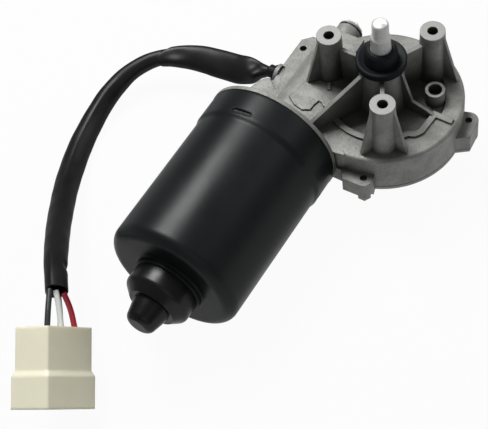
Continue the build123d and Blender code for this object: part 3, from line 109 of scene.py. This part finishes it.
# distance along it, then half width, half thickness and shift to the inner side: first the wide, flat
# part by the gearbox, then the rounder part past the cut edge
WIDE_SIZES = np.array([
    (0, 2.4, 2.7, 0.5), (5.4, 4.1, 3.3, 0.1), (7, 5.3, 3.3, 0.4), (9, 6.5, 3.15, 0.7),
    (11.7, 7.0, 3.0, 0.4), (14.8, 7.35, 2.9, 0.4), (18, 7.5, 2.8, 0.5), (22, 7.5, 2.8, 0.35),
    (27.7, 7.4, 2.9, 0.3), (33, 7.35, 3.0, 0.4), (40, 7.1, 3.1, 0.5), (47, 6.5, 3.3, 0.45),
    (50, 6.3, 3.4, 0.4), (54, 5.9, 3.6, 0.4), (58, 5.3, 3.8, 0.3), (62, 4.9, 4.0, 0.0),
])
TUBE_SIZES = np.array([
    (40, 3.6, 3.4, 0.3), (50, 3.7, 3.5, 0.15), (58, 3.9, 3.6, -0.2), (66, 4.1, 3.8, -0.45),
    (70, 4.3, 4.0, -0.2), (75, 4.4, 4.1, -0.15), (80, 4.45, 4.2, -0.2), (89, 5.0, 4.3, 0.6),
    (95, 5.4, 4.3, 0.9), (100, 5.4, 4.3, 1.05), (107, 5.6, 4.3, 0.85), (116, 5.75, 4.4, 0.7),
    (125, 5.95, 4.4, 0.65), (136, 6.25, 4.4, 0.5), (158, 6.25, 4.4, 0.35), (175, 6.15, 4.4, 0.25),
    (206, 5.95, 4.5, 0.25), (228, 5.6, 4.5, 0.25), (240, 5.4, 4.5, 0.2), (250, 5.1, 4.5, 0.3),
])
WIDE_EVENED = 1.5  # reach over which each list is evened out
TUBE_EVENED = 7.0

# the cut edge: distance along the sleeve, slant over the thickness and over the width, length of its step
CUT_AT = 60.0
CUT_SLANT = 5.0
CUT_SKEW = 3.0
CUT_STEP = 1.0

# ripples: height, length over 2 pi, how far they turn round the section, start
SIDE_RIPPLE = (0.05, 5.2, 2, 0)
TOP_RIPPLE = (0.04, 2.3, 3, 1)

# the nick in the inner edge: depth, distance from the far end, reach along it and round it
NICK_DEPTH = 1.2
NICK_FROM_END = 14.0
NICK_REACH = 2.0
NICK_SPREAD = 0.25

# creases in the flat side: distance along the sleeve and reach, slope, place across it and width
FOLDS = ((7.5, 3.6, 0.7, -0.5, 5.0), (57.0, 7.0, 0.38, -1.5, 5.0))

# the ridge of its long run: where it starts and is full, place across it, rise, slopes to either side
RIDGE_START = 80.0
RIDGE_FULL = 110.0
RIDGE_AT = 1.0
RIDGE_RISE = 0.7
RIDGE_OUTER_SLOPE = 0.16
RIDGE_INNER_SLOPE = 0.3

# ------------------------------------------------------------------ output shaft, in millimetres
SHAFT_FOOT_Z = -43.8
FLANGE_TOP_Z = -42.8
CHAMFER_FOOT_Z = 6.2
CONE_FOOT_Z = 7.0
CONE_TOP_Z = 13.8
THREAD_Z = 15.2
TIP_CHAMFER_Z = 22.4
SHAFT_TIP_Z = 23.2
FLANGE_R = 6.4
SHAFT_R = 5.0
CONE_FOOT_R = 4.8
CONE_TOP_R = 4.65
THREAD_R = 4.0
SHAFT_TIP_R = 3.2
THREAD_PITCH = 1.25
THREAD_DEPTH = 0.25
THREAD_RUN_IN = 0.5
FLUTES = 36
FLUTE_DEPTH = 0.2
FLUTE_FOOT_Z = 7.2
FLUTE_TOP_Z = 14.0
FLUTE_RUN_IN = 0.6
SHAFT_SIDES = 144
SHAFT_RINGS = ((-42.7, 5.1, 12), (6.2, 15.15, 26), (15.2, 23.2, 101))  # from, to, how many
EDGE_ANGLE = math.radians(40)  # edges sharper than this stay crisp

# ------------------------------------------------------------------ threaded bosses, in metres
BOSS_RING = next(m["dims"] for m in frame["record"]["mounts"] if m["name"] == "mounting_bosses")
BOSS_CIRCLE_R = BOSS_RING["pcd_mm"] / 2 * MM
BOSS_START = 180  # degrees, where the first boss lies
BOSS_STEP = 360 / BOSS_RING["count"]
BOSS_ANGLES = [math.radians(BOSS_START + BOSS_STEP * k) for k in range(BOSS_RING["count"])]
BOSS_THREAD_REACH = 0.0029  # from a boss axis to just past its hole's wall
BOSS_THREAD_PITCH = 0.001
BOSS_THREAD_HEIGHT = 2.0  # against the grain's

# ------------------------------------------------------------------ stage: metres and watts
FLOOR_GAP = 0.0001
FLOOR_REACH = 3.0
FLOOR_SHADE = 0.5
FLOOR_GLOW = 0.95
WORLD_LEVEL = 0.2
LAMP_AIM = (-0.03, -0.05, -0.03)
LAMPS = {  # place, size and power
    "key": ((-0.55, 0.25, 0.95), (0.4, 0.55), 16.0),
    "fill": ((0.7, -0.9, 0.8), (1.2, 1.2), 1.5),
    "rim": ((0.5, 0.9, 0.7), (0.9, 0.5), 3.0),
}


# ------------------------------------------------------------------ helpers for shapes
def grid_piece(name, rings):
    """A quad mesh over closed rings of points, an array (rings, points, 3). A ring whose points all
    coincide becomes one pole. Faces look along (step to the next ring) x (step to the next point)."""
    count, sides = rings.shape[:2]
    a, b = np.meshgrid(np.arange(count - 1), np.arange(sides), indexing="ij")
    here, there = a * sides, (a + 1) * sides
    after = (b + 1) % sides
    faces = np.stack([here + b, there + b, there + after, here + after], -1)
    mesh = bpy.data.meshes.new(name)
    mesh.from_pydata(rings.reshape(-1, 3).tolist(), [], faces.reshape(-1, 4).tolist())
    shell = bmesh.new()
    shell.from_mesh(mesh)
    bmesh.ops.remove_doubles(shell, verts=shell.verts, dist=POLE_GAP)
    shell.to_mesh(mesh)
    shell.free()
    mesh.polygons.foreach_set("use_smooth", np.ones(len(mesh.polygons), bool))
    piece = bpy.data.objects.new(name, mesh)
    bpy.context.scene.collection.objects.link(piece)
    return piece


def spline_points(route):
    """Points of a smooth open curve that has the route's points as its control points."""
    curve = bpy.data.curves.new("route", "CURVE")
    curve.dimensions = "3D"
    spline = curve.splines.new("NURBS")
    spline.points.add(len(route) - 1)
    for point, place in zip(spline.points, route):
        point.co = (*place, 1.0)
    spline.order_u = 3
    spline.use_endpoint_u = True
    spline.resolution_u = 16
    carrier = bpy.data.objects.new("route", curve)
    mesh = bpy.data.meshes.new_from_object(carrier)
    points = np.empty(len(mesh.vertices) * 3)
    mesh.vertices.foreach_get("co", points)
    bpy.data.objects.remove(carrier)
    bpy.data.meshes.remove(mesh)
    bpy.data.curves.remove(curve)
    return points.reshape(-1, 3)


def even_line(points, count):
    """A polyline resampled at equal steps of its length, and each new point's distance along it."""
    steps = np.linalg.norm(np.diff(points, axis=0), axis=1)
    along = np.concatenate([[0.0], np.cumsum(steps)])
    wanted = np.linspace(0, along[-1], count)
    return np.stack([np.interp(wanted, along, points[:, k]) for k in range(3)], -1), wanted


def unit(vectors):
    """Each row's direction, with a length of 1."""
    return vectors / np.linalg.norm(vectors, axis=1)[:, None]


def smooth(x):
    """Smooth step from 0 at x = 0 to 1 at x = 1: 3 x squared less 2 x cubed."""
    x = np.clip(x, 0, 1)
    return x * x * (3 - 2 * x)


def bell(x, reach):
    """A smooth bump of height 1 about x = 0: e to the power of -(x / reach) squared."""
    return np.exp(-(x / reach) ** 2)


def saw(x):
    """Straight flanks between 1 at each whole x and 0 half-way to the next."""
    return np.abs(x % 1.0 * 2 - 1)


# ------------------------------------------------------------------ camera
def make_camera():
    """Look along the given azimuth and elevation, rolled about the view."""
    back = Vector((
        math.sin(CAMERA_AZIMUTH) * math.cos(CAMERA_ELEVATION),
        -math.cos(CAMERA_AZIMUTH) * math.cos(CAMERA_ELEVATION),
        math.sin(CAMERA_ELEVATION),
    ))
    right = Vector((math.cos(CAMERA_AZIMUTH), math.sin(CAMERA_AZIMUTH), 0))
    up = back.cross(right)
    c, s = math.cos(CAMERA_ROLL), math.sin(CAMERA_ROLL)
    x_axis, y_axis = c * right + s * up, c * up - s * right
    data = bpy.data.cameras.new("camera")
    data.lens = CAMERA_LENS
    data.sensor_width = SENSOR_WIDTH
    data.sensor_fit = "HORIZONTAL"
    data.clip_start, data.clip_end = CAMERA_CLIP
    camera = bpy.data.objects.new("camera", data)
    turn = Matrix((x_axis, y_axis, back)).transposed().to_4x4()
    camera.matrix_world = Matrix.Translation(CAMERA_AT) @ turn
    bpy.context.scene.collection.objects.link(camera)
    bpy.context.scene.camera = camera


# ------------------------------------------------------------------ sleeve
def evened(sizes, s, reach):
    """The three sizes at distances s, each the mean of nine readings over the reach to either side."""
    places = s + np.linspace(-reach, reach, 9)[:, None]
    return [np.interp(places, sizes[:, 0], size).mean(0)[:, None] for size in sizes.T[1:]]


def sleeve_sizes(s, around):
    """Half width, half thickness and shift at each distance s and angle around the section. They pass
    from the wide sizes to the tube's in one smooth step at the oblique cut edge."""
    cut = CUT_AT + CUT_SLANT * np.sin(around) - CUT_SKEW * np.cos(around)
    past = smooth((s[:, None] - cut) / CUT_STEP)
    parts = zip(evened(WIDE_SIZES, s, WIDE_EVENED), evened(TUBE_SIZES, s, TUBE_EVENED))
    return [wide * (1 - past) + tube * past for wide, tube in parts]


def rippled(ripple, s, turn):
    """A ripple's height: a sine of the distance along the sleeve that also turns round its section."""
    height, length, turns, start = ripple
    return height * np.sin(s / length + turns * turn + start)


def sleeve_section(s, around, total, shrink=0.0):
    """Places across the sleeve, to its outer side, and above its route. The section is a superellipse,
    half width x |cos|^power and half thickness x |sin|^power with the signs of cos and sin. Ripples
    and a nick change its size, and creases and a ridge tilt the side that looks up."""
    half, thick, lean = sleeve_sizes(s, around)
    s = s[:, None]
    cos, sin = np.cos(around), np.sin(around)
    x = np.sign(cos) * np.abs(cos) ** SECTION_POWER
    y = np.sign(sin) * np.abs(sin) ** SECTION_POWER
    ripple = rippled(SIDE_RIPPLE, s, cos) + rippled(TOP_RIPPLE, s, sin)
    nick = NICK_DEPTH * bell(s - total + NICK_FROM_END, NICK_REACH) * bell(cos + 1, NICK_SPREAD)
    across = (half - shrink + ripple - nick) * x - lean
    above = (thick - shrink + ripple) * y
    upper = np.maximum(y, 0)
    for place, reach, slope, centre, width in FOLDS:
        beside = across - centre
        above = above - slope * bell(s - place, reach) * bell(beside, width) * beside * upper
    beside = across - RIDGE_AT
    roof = RIDGE_RISE - RIDGE_OUTER_SLOPE * np.maximum(beside, 0)
    roof = roof + RIDGE_INNER_SLOPE * np.minimum(beside, 0)
    ridged = smooth((s - RIDGE_START) / (RIDGE_FULL - RIDGE_START))
    return across, above + ridged * roof * upper


def make_sleeve():
    """The section carried along the route, square to it, with its flat side turned to FACE_UP. The
    tube doubles back inside at its far end, so its mouth is open."""
    line, along = even_line(spline_points(SLEEVE_ROUTE), SLEEVE_RINGS)
    tangent = unit(np.gradient(line, axis=0))
    side = unit(np.cross(tangent, FACE_UP))
    lift = np.cross(side, tangent)
    around = np.linspace(0, 2 * math.pi, SLEEVE_SIDES, endpoint=False)
    s = along / MM

    def rings(index, shrink=0.0):
        across, above = sleeve_section(s[index], around, s[-1], shrink)
        return (line[index][:, None] + MM * across[..., None] * side[index][:, None]
                + MM * above[..., None] * lift[index][:, None])

    whole = np.arange(SLEEVE_RINGS)
    mouth = whole[s > s[-1] - MOUTH_DEPTH][::-1]
    outer, inner = rings(whole), rings(mouth, SLEEVE_WALL)
    start = np.repeat(line[:1], SLEEVE_SIDES, 0)[None]
    end = np.repeat(line[mouth[-1:]], SLEEVE_SIDES, 0)[None]
    sleeve = grid_piece("sleeve", np.concatenate([start, (outer[:1] + start) / 2, outer, inner, end]))
    return sleeve, line


def make_cord():
    """The sleeve, attached to the housing in place of the frame's own; its wires and plug stay the frame's
    own pieces.
    """
    sleeve, line = make_sleeve()
    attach(sleeve, "housing")
    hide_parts("harness_sleeve")
    return sleeve


# ------------------------------------------------------------------ output shaft
def make_output_shaft():
    """The turned shaft. Its radius at height z and angle a is the stepped profile, less a V thread of
    the given pitch on the end, less shallow V flutes on the cone below it."""
    profile = np.array([
        (FLANGE_TOP_Z, SHAFT_R), (CHAMFER_FOOT_Z, SHAFT_R), (CONE_FOOT_Z, CONE_FOOT_R),
        (CONE_TOP_Z, CONE_TOP_R), (THREAD_Z, THREAD_R), (TIP_CHAMFER_Z, THREAD_R),
        (SHAFT_TIP_Z, SHAFT_TIP_R),
    ])
    z = np.concatenate([np.linspace(low, high, count) for low, high, count in SHAFT_RINGS])[:, None]
    turns = np.linspace(0, 1, SHAFT_SIDES, endpoint=False)
    cos, sin = np.cos(2 * math.pi * turns), np.sin(2 * math.pi * turns)
    on_thread = smooth((z - THREAD_Z) / THREAD_RUN_IN)
    on_flutes = smooth((z - FLUTE_FOOT_Z) / FLUTE_RUN_IN) * smooth((FLUTE_TOP_Z - z) / FLUTE_RUN_IN)
    radius = np.interp(z, profile[:, 0], profile[:, 1])
    radius = radius - THREAD_DEPTH * saw(z / THREAD_PITCH - turns) * on_thread
    radius = radius - FLUTE_DEPTH * saw(turns * FLUTES) * on_flutes

    def rings(radius, z):
        return MM * np.stack([radius * cos, radius * sin, z * np.ones_like(radius * cos)], -1)

    foot_r = np.array([[0.0], [FLANGE_R], [FLANGE_R], [SHAFT_R]])
    foot_z = np.array([[SHAFT_FOOT_Z], [SHAFT_FOOT_Z], [FLANGE_TOP_Z], [FLANGE_TOP_Z]])
    tip_r, tip_z = np.array([[0.0]]), np.array([[SHAFT_TIP_Z]])
    upward = np.concatenate([rings(foot_r, foot_z), rings(radius, z), rings(tip_r, tip_z)])
    shaft = grid_piece("output_shaft_turned", upward[::-1])
    edges = shaft.modifiers.new("edges", "EDGE_SPLIT")
    edges.split_angle = EDGE_ANGLE
    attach(shaft, "output")
    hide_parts("output_shaft")
    return shaft


# ------------------------------------------------------------------ helpers for shaders
def new_group(name, inputs, outputs):
    """An empty shader node group with named float inputs (name, default) and named outputs."""
    group = bpy.data.node_groups.new(name, "ShaderNodeTree")
    for label, default in inputs:
        socket = group.interface.new_socket(label, in_out="INPUT", socket_type="NodeSocketFloat")
        socket.default_value = default
    for label in outputs:
        group.interface.new_socket(label, in_out="OUTPUT", socket_type="NodeSocketFloat")
    return group, group.nodes.new("NodeGroupInput"), group.nodes.new("NodeGroupOutput")


def link(tree, source, target):
    """Join two sockets."""
    tree.links.new(source, target)


def maths(tree, operation, *operands):
    """A Math node; each operand is a socket or a number."""
    node = tree.nodes.new("ShaderNodeMath")
    node.operation = operation
    for socket, value in zip(node.inputs, operands):
        if isinstance(value, (int, float)):
            socket.default_value = value
        else:
            link(tree, value, socket)
    return node.outputs[0]


def stretch(tree, value, low, high, to_low=0.0, to_high=1.0):
    """A clamped, smooth map of value from low..high to to_low..to_high."""
    node = tree.nodes.new("ShaderNodeMapRange")
    node.interpolation_type = "SMOOTHSTEP"
    link(tree, value, node.inputs["Value"])
    node.inputs["From Min"].default_value = low
    node.inputs["From Max"].default_value = high
    node.inputs["To Min"].default_value = to_low
    node.inputs["To Max"].default_value = to_high
    return node.outputs["Result"]


def grain_group():
    """Fine grain and broad mottling: two noises on Object coordinates, which Stretch Y squeezes."""
    group, entry, leave = new_group(
        "grain", [("Fine Scale", 900.0), ("Broad Scale", 60.0), ("Stretch Y", 1.0)], ["Fine", "Broad"]
    )
    place = group.nodes.new("ShaderNodeTexCoord").outputs["Object"]
    squeeze = group.nodes.new("ShaderNodeCombineXYZ")
    squeeze.inputs[0].default_value = squeeze.inputs[2].default_value = 1.0
    link(group, entry.outputs["Stretch Y"], squeeze.inputs[1])
    mapped = group.nodes.new("ShaderNodeVectorMath")
    mapped.operation = "MULTIPLY"
    link(group, place, mapped.inputs[0])
    link(group, squeeze.outputs[0], mapped.inputs[1])
    for label, output, detail in (("Fine Scale", "Fine", 3.0), ("Broad Scale", "Broad", 5.0)):
        noise = group.nodes.new("ShaderNodeTexNoise")
        noise.inputs["Detail"].default_value = detail
        link(group, mapped.outputs[0], noise.inputs["Vector"])
        link(group, entry.outputs[label], noise.inputs["Scale"])
        link(group, noise.outputs["Fac"], leave.inputs[output])
    return group


GRAIN = grain_group()


class Finish:
    """One Principled material under construction, with short ways to add its effects."""

    def __init__(self, name, colour, roughness, metallic=0.0, **sockets):
        self.material = bpy.data.materials.new(name)
        self.material.use_nodes = True
        self.tree = self.material.node_tree
        self.shader = self.tree.nodes["Principled BSDF"]
        self.shader.inputs["Base Color"].default_value = (*colour, 1)
        self.shader.inputs["Roughness"].default_value = roughness
        self.shader.inputs["Metallic"].default_value = metallic
        for label, value in sockets.items():
            self.shader.inputs[label.replace("_", " ")].default_value = value

    def grain(self, fine, broad, stretch_y=1.0):
        """Put the grain group in with its scales and return its two masks."""
        node = self.tree.nodes.new("ShaderNodeGroup")
        node.node_tree = GRAIN
        node.inputs["Fine Scale"].default_value = fine
        node.inputs["Broad Scale"].default_value = broad
        node.inputs["Stretch Y"].default_value = stretch_y
        return node.outputs["Fine"], node.outputs["Broad"]

    def corners(self, reach):
        """A mask from the shape itself, for painted shade: 1 far into corners, 0 on open faces."""
        near = self.tree.nodes.new("ShaderNodeAmbientOcclusion")
        near.samples = 8
        near.inputs["Distance"].default_value = reach
        return maths(self.tree, "SUBTRACT", 1.0, near.outputs["AO"])

    def blend(self, mask, first, second):
        """A colour mixed from first (mask 0) to second (mask 1)."""
        node = self.tree.nodes.new("ShaderNodeMix")
        node.data_type = "RGBA"
        link(self.tree, mask, node.inputs["Factor"])
        for socket, value in ((node.inputs["A"], first), (node.inputs["B"], second)):
            if isinstance(value, tuple):
                socket.default_value = (*value, 1)
            else:
                link(self.tree, value, socket)
        return node.outputs["Result"]

    def colour(self, socket):
        """Feed the base colour."""
        link(self.tree, socket, self.shader.inputs["Base Color"])

    def rough(self, mask, low, high):
        """Roughness that follows a mask."""
        link(self.tree, stretch(self.tree, mask, 0.25, 0.75, low, high), self.shader.inputs["Roughness"])

    def gloss(self, head_on, grazing):
        """Specular level that falls from head-on to grazing views, as on slightly dusty gloss."""
        facing = self.tree.nodes.new("ShaderNodeLayerWeight").outputs["Facing"]
        level = self.shader.inputs["Specular IOR Level"]
        level.default_value = head_on
        link(self.tree, stretch(self.tree, facing, 0.1, 0.6, head_on, grazing), level)

    def bump(self, height, strength, distance, edge_radius):
        """Bump from a height, over edges rounded by the given radius."""
        node = self.tree.nodes.new("ShaderNodeBump")
        node.inputs["Strength"].default_value = strength
        node.inputs["Distance"].default_value = distance
        link(self.tree, height, node.inputs["Height"])
        rounded = self.tree.nodes.new("ShaderNodeBevel")
        rounded.samples = 6
        rounded.inputs["Radius"].default_value = edge_radius
        link(self.tree, rounded.outputs["Normal"], node.inputs["Normal"])
        link(self.tree, node.outputs["Normal"], self.shader.inputs["Normal"])


# ------------------------------------------------------------------ finishes
def boss_threads(tree, place):
    """Thread lines in the boss holes: a sine of the height, wherever a boss axis is near."""
    flat = tree.nodes.new("ShaderNodeCombineXYZ")
    link(tree, place.outputs["X"], flat.inputs["X"])
    link(tree, place.outputs["Y"], flat.inputs["Y"])
    nearest = 1.0
    for angle in BOSS_ANGLES:
        reach = tree.nodes.new("ShaderNodeVectorMath")
        reach.operation = "DISTANCE"
        link(tree, flat.outputs[0], reach.inputs[0])
        reach.inputs[1].default_value = (BOSS_CIRCLE_R * math.cos(angle), BOSS_CIRCLE_R * math.sin(angle), 0)
        nearest = maths(tree, "MINIMUM", reach.outputs["Value"], nearest)
    in_hole = maths(tree, "LESS_THAN", nearest, BOSS_THREAD_REACH)
    turns = maths(tree, "SINE", maths(tree, "MULTIPLY", place.outputs["Z"], 2 * math.pi / BOSS_THREAD_PITCH))
    return maths(tree, "MULTIPLY", turns, maths(tree, "MULTIPLY", in_hole, BOSS_THREAD_HEIGHT))


def cast_finish():
    """Die-cast alloy: grey satin skin with fine grain, and painted shade that darkens its corners. The boss
    faces are machined, so they are lighter, and their holes have thread lines."""
    dull, pale, speckle = (0.168, 0.17, 0.158), (0.235, 0.238, 0.222), (0.09, 0.09, 0.083)
    machined, painted_shade_colour = (0.27, 0.275, 0.26), (0.028, 0.028, 0.025)
    finish = Finish("die_cast_alloy", (0.19, 0.19, 0.175), 0.5, metallic=0.18)
    tree = finish.tree
    place = tree.nodes.new("ShaderNodeSeparateXYZ")
    link(tree, tree.nodes.new("ShaderNodeTexCoord").outputs["Object"], place.inputs[0])
    fine, broad = finish.grain(fine=1100.0, broad=120.0)
    skin = finish.blend(stretch(tree, broad, 0.35, 0.65), dull, pale)
    skin = finish.blend(stretch(tree, fine, 0.55, 0.7, to_high=0.5), skin, speckle)
    skin = finish.blend(stretch(tree, place.outputs["Z"], -0.6 * MM, -0.3 * MM), skin, machined)
    # painted shade: the colour goes near black far into corners and between parts, from an occlusion mask
    painted_shade_mask = stretch(tree, finish.corners(reach=0.022), 0.15, 0.85, to_high=0.95)
    finish.colour(finish.blend(painted_shade_mask, skin, painted_shade_colour))
    finish.rough(fine, 0.42, 0.6)
    height = maths(tree, "ADD", fine, boss_threads(tree, place))
    finish.bump(height, strength=0.22, distance=0.0004, edge_radius=0.0006)
    return finish.material


def can_paint_finish():
    """Smooth black paint: faint orange peel, lighter patches and a slightly uneven gloss."""
    colour, lighter = (0.0065, 0.0075, 0.008), (0.00975, 0.01125, 0.012)
    finish = Finish("satin_black_paint", colour, 0.34)
    finish.gloss(head_on=0.17, grazing=0.05)
    fine, broad = finish.grain(fine=700.0, broad=40.0)
    finish.colour(finish.blend(broad, colour, lighter))
    finish.rough(broad, 0.3, 0.39)
    finish.bump(fine, strength=0.06, distance=0.0001, edge_radius=0.002)
    return finish.material


def moulded_finish(name, colour, roughness, gloss=None):
    """Moulded plastic or rubber: fine skin texture and slightly lighter patches. Its gloss is the
    specular level head-on and at a grazing view."""
    finish = Finish(name, colour, roughness)
    if gloss:
        finish.gloss(*gloss)
    fine, broad = finish.grain(fine=2200.0, broad=80.0)
    lighter = tuple(1.25 * c + 0.003 for c in colour)
    finish.colour(finish.blend(broad, colour, lighter))
    finish.rough(broad, roughness - 0.05, roughness + 0.06)
    finish.bump(fine, strength=0.12, distance=0.0001, edge_radius=0.0004)
    return finish.material


def metal_finish(name, colour, roughness, stretch_y=1.0, strength=0.1, metallic=1.0):
    """Bare metal with fine machining lines; a dull plated one is partly metallic."""
    finish = Finish(name, colour, roughness, metallic)
    fine, broad = finish.grain(fine=1800.0, broad=120.0, stretch_y=stretch_y)
    darker = tuple(0.82 * c for c in colour)
    finish.colour(finish.blend(broad, darker, colour))
    finish.rough(fine, roughness - 0.8 * strength, roughness + strength)
    finish.bump(fine, strength, distance=0.0001, edge_radius=0.0003)
    return finish.material


def nylon_finish():
    """Milky natural nylon: light passes a little way in, so its edges glow."""
    finish = Finish("natural_nylon", (0.84, 0.80, 0.62), 0.42, Subsurface_Weight=0.3,
                    Subsurface_Scale=0.003, Specular_IOR_Level=0.2)
    finish.shader.inputs["Subsurface Radius"].default_value = (1.0, 0.85, 0.6)
    fine, broad = finish.grain(fine=1400.0, broad=90.0)
    finish.colour(finish.blend(broad, (0.82, 0.78, 0.59), (0.89, 0.86, 0.70)))
    finish.rough(broad, 0.36, 0.5)
    finish.bump(fine, strength=0.08, distance=0.0001, edge_radius=0.0018)
    return finish.material


FINISHES = {
    "casting": cast_finish(),
    "zinc_plate": metal_finish("zinc_plated_steel", (0.20, 0.20, 0.19), 0.45, metallic=0.5),
    "gasket": moulded_finish("gasket_rubber", (0.03, 0.03, 0.03), 0.7),
    "bronze": metal_finish("oiled_bronze", (0.55, 0.36, 0.18), 0.4),
    "steel": metal_finish("ground_steel", (0.56, 0.56, 0.57), 0.3),
    "shaft_steel": metal_finish("turned_steel", (0.60, 0.60, 0.59), 0.42, strength=0.02, metallic=0.4),
    "seal_rubber": moulded_finish("black_rubber", (0.005, 0.006, 0.008), 0.55, gloss=(0.15, 0.05)),
    "laminate": moulded_finish("phenolic_board", (0.30, 0.17, 0.08), 0.55),
    "brass": metal_finish("contact_brass", (0.78, 0.58, 0.25), 0.3),
    "ferrite": moulded_finish("ferrite", (0.05, 0.05, 0.055), 0.6),
    "carbon": moulded_finish("brush_carbon", (0.03, 0.03, 0.03), 0.45),
    "can_paint": can_paint_finish(),
    "cap_plastic": moulded_finish("black_moulding", (0.004, 0.004, 0.0045), 0.28, gloss=(0.25, 0.08)),
    "sleeve_pvc": moulded_finish("sleeve_pvc", (0.0035, 0.0035, 0.004), 0.42, gloss=(0.26, 0.06)),
    "grey_pvc": moulded_finish("wire_dark_grey", (0.02, 0.023, 0.023), 0.4, gloss=(0.3, 0.2)),
    "white_pvc": moulded_finish("wire_white", (0.60, 0.63, 0.61), 0.35),
    "red_pvc": moulded_finish("wire_red", (0.34, 0.012, 0.03), 0.35),
    "black_pvc": moulded_finish("wire_black", (0.012, 0.012, 0.012), 0.4),
    "nylon": nylon_finish(),
    "tinned_brass": metal_finish("tinned_brass", (0.72, 0.68, 0.58), 0.3),
    "lamination": metal_finish("core_sheet", (0.3, 0.3, 0.31), 0.45, stretch_y=20.0),
    "copper": metal_finish("enamelled_copper", (0.62, 0.24, 0.11), 0.3),
    "gear_plastic": moulded_finish("gear_acetal", (0.78, 0.76, 0.68), 0.4),
}


def give(piece, slot):
    """Give a piece the finish that the given slot stands for."""
    piece.data.materials.clear()
    piece.data.materials.append(FINISHES[slot])


# ------------------------------------------------------------------ floor and light
def make_floor():
    """A pale floor that looks white and keeps the object's soft shadow."""
    mesh = bpy.data.meshes.new("floor")
    corners = [(x * FLOOR_REACH, y * FLOOR_REACH, cad_bounds[0].z - FLOOR_GAP)
               for x, y in ((-1, -1), (1, -1), (1, 1), (-1, 1))]
    mesh.from_pydata(corners, [], [(0, 1, 2, 3)])
    floor = bpy.data.objects.new("floor", mesh)
    bpy.context.scene.collection.objects.link(floor)
    material = bpy.data.materials.new("floor_white")
    material.use_nodes = True
    tree = material.node_tree
    tree.nodes.clear()
    out = tree.nodes.new("ShaderNodeOutputMaterial")
    mix = tree.nodes.new("ShaderNodeMixShader")
    matt = tree.nodes.new("ShaderNodeBsdfDiffuse")
    matt.inputs["Color"].default_value = (FLOOR_SHADE, FLOOR_SHADE, FLOOR_SHADE, 1)
    glow = tree.nodes.new("ShaderNodeEmission")
    glow.inputs["Color"].default_value = (1, 1, 1, 1)
    glow.inputs["Strength"].default_value = 1.0
    path = tree.nodes.new("ShaderNodeLightPath")
    seen = maths(tree, "MAXIMUM", path.outputs["Is Camera Ray"], path.outputs["Is Glossy Ray"])
    seen = maths(tree, "MAXIMUM", seen, path.outputs["Is Transmission Ray"])
    link(tree, maths(tree, "MULTIPLY", seen, FLOOR_GLOW), mix.inputs[0])
    link(tree, matt.outputs[0], mix.inputs[1])
    link(tree, glow.outputs[0], mix.inputs[2])
    link(tree, mix.outputs[0], out.inputs["Surface"])
    mesh.materials.append(material)


def make_world():
    """Even pale surroundings that read as white to the camera."""
    world = bpy.data.worlds.new("studio")
    bpy.context.scene.world = world
    world.use_nodes = True
    tree = world.node_tree
    background = tree.nodes["Background"]
    path = tree.nodes.new("ShaderNodeLightPath")
    seen = maths(tree, "MAXIMUM", path.outputs["Is Camera Ray"], path.outputs["Is Transmission Ray"])
    background.inputs["Color"].default_value = (1, 1, 1, 1)
    level = stretch(tree, seen, 0.0, 1.0, WORLD_LEVEL, 1.0)
    link(tree, level, background.inputs["Strength"])


def make_lamp(name, place, size, power):
    """A soft box at place that looks at the object."""
    data = bpy.data.lights.new(name, "AREA")
    data.shape = "RECTANGLE"
    data.size, data.size_y = size
    data.energy = power
    lamp = bpy.data.objects.new(name, data)
    turn = (Vector(place) - Vector(LAMP_AIM)).to_track_quat("Z", "Y").to_matrix().to_4x4()
    lamp.matrix_world = Matrix.Translation(place) @ turn
    bpy.context.scene.collection.objects.link(lamp)


make_camera()
for entry in frame["record"]["subparts"]:
    give(frame["nodes"][entry["node"]], entry["material_slot"])
give(make_cord(), "sleeve_pvc")
give(make_output_shaft(), "shaft_steel")
make_floor()
make_world()
for name, (place, size, power) in LAMPS.items():
    make_lamp(name, place, size, power)

bpy.context.scene.view_settings.view_transform = "Standard"
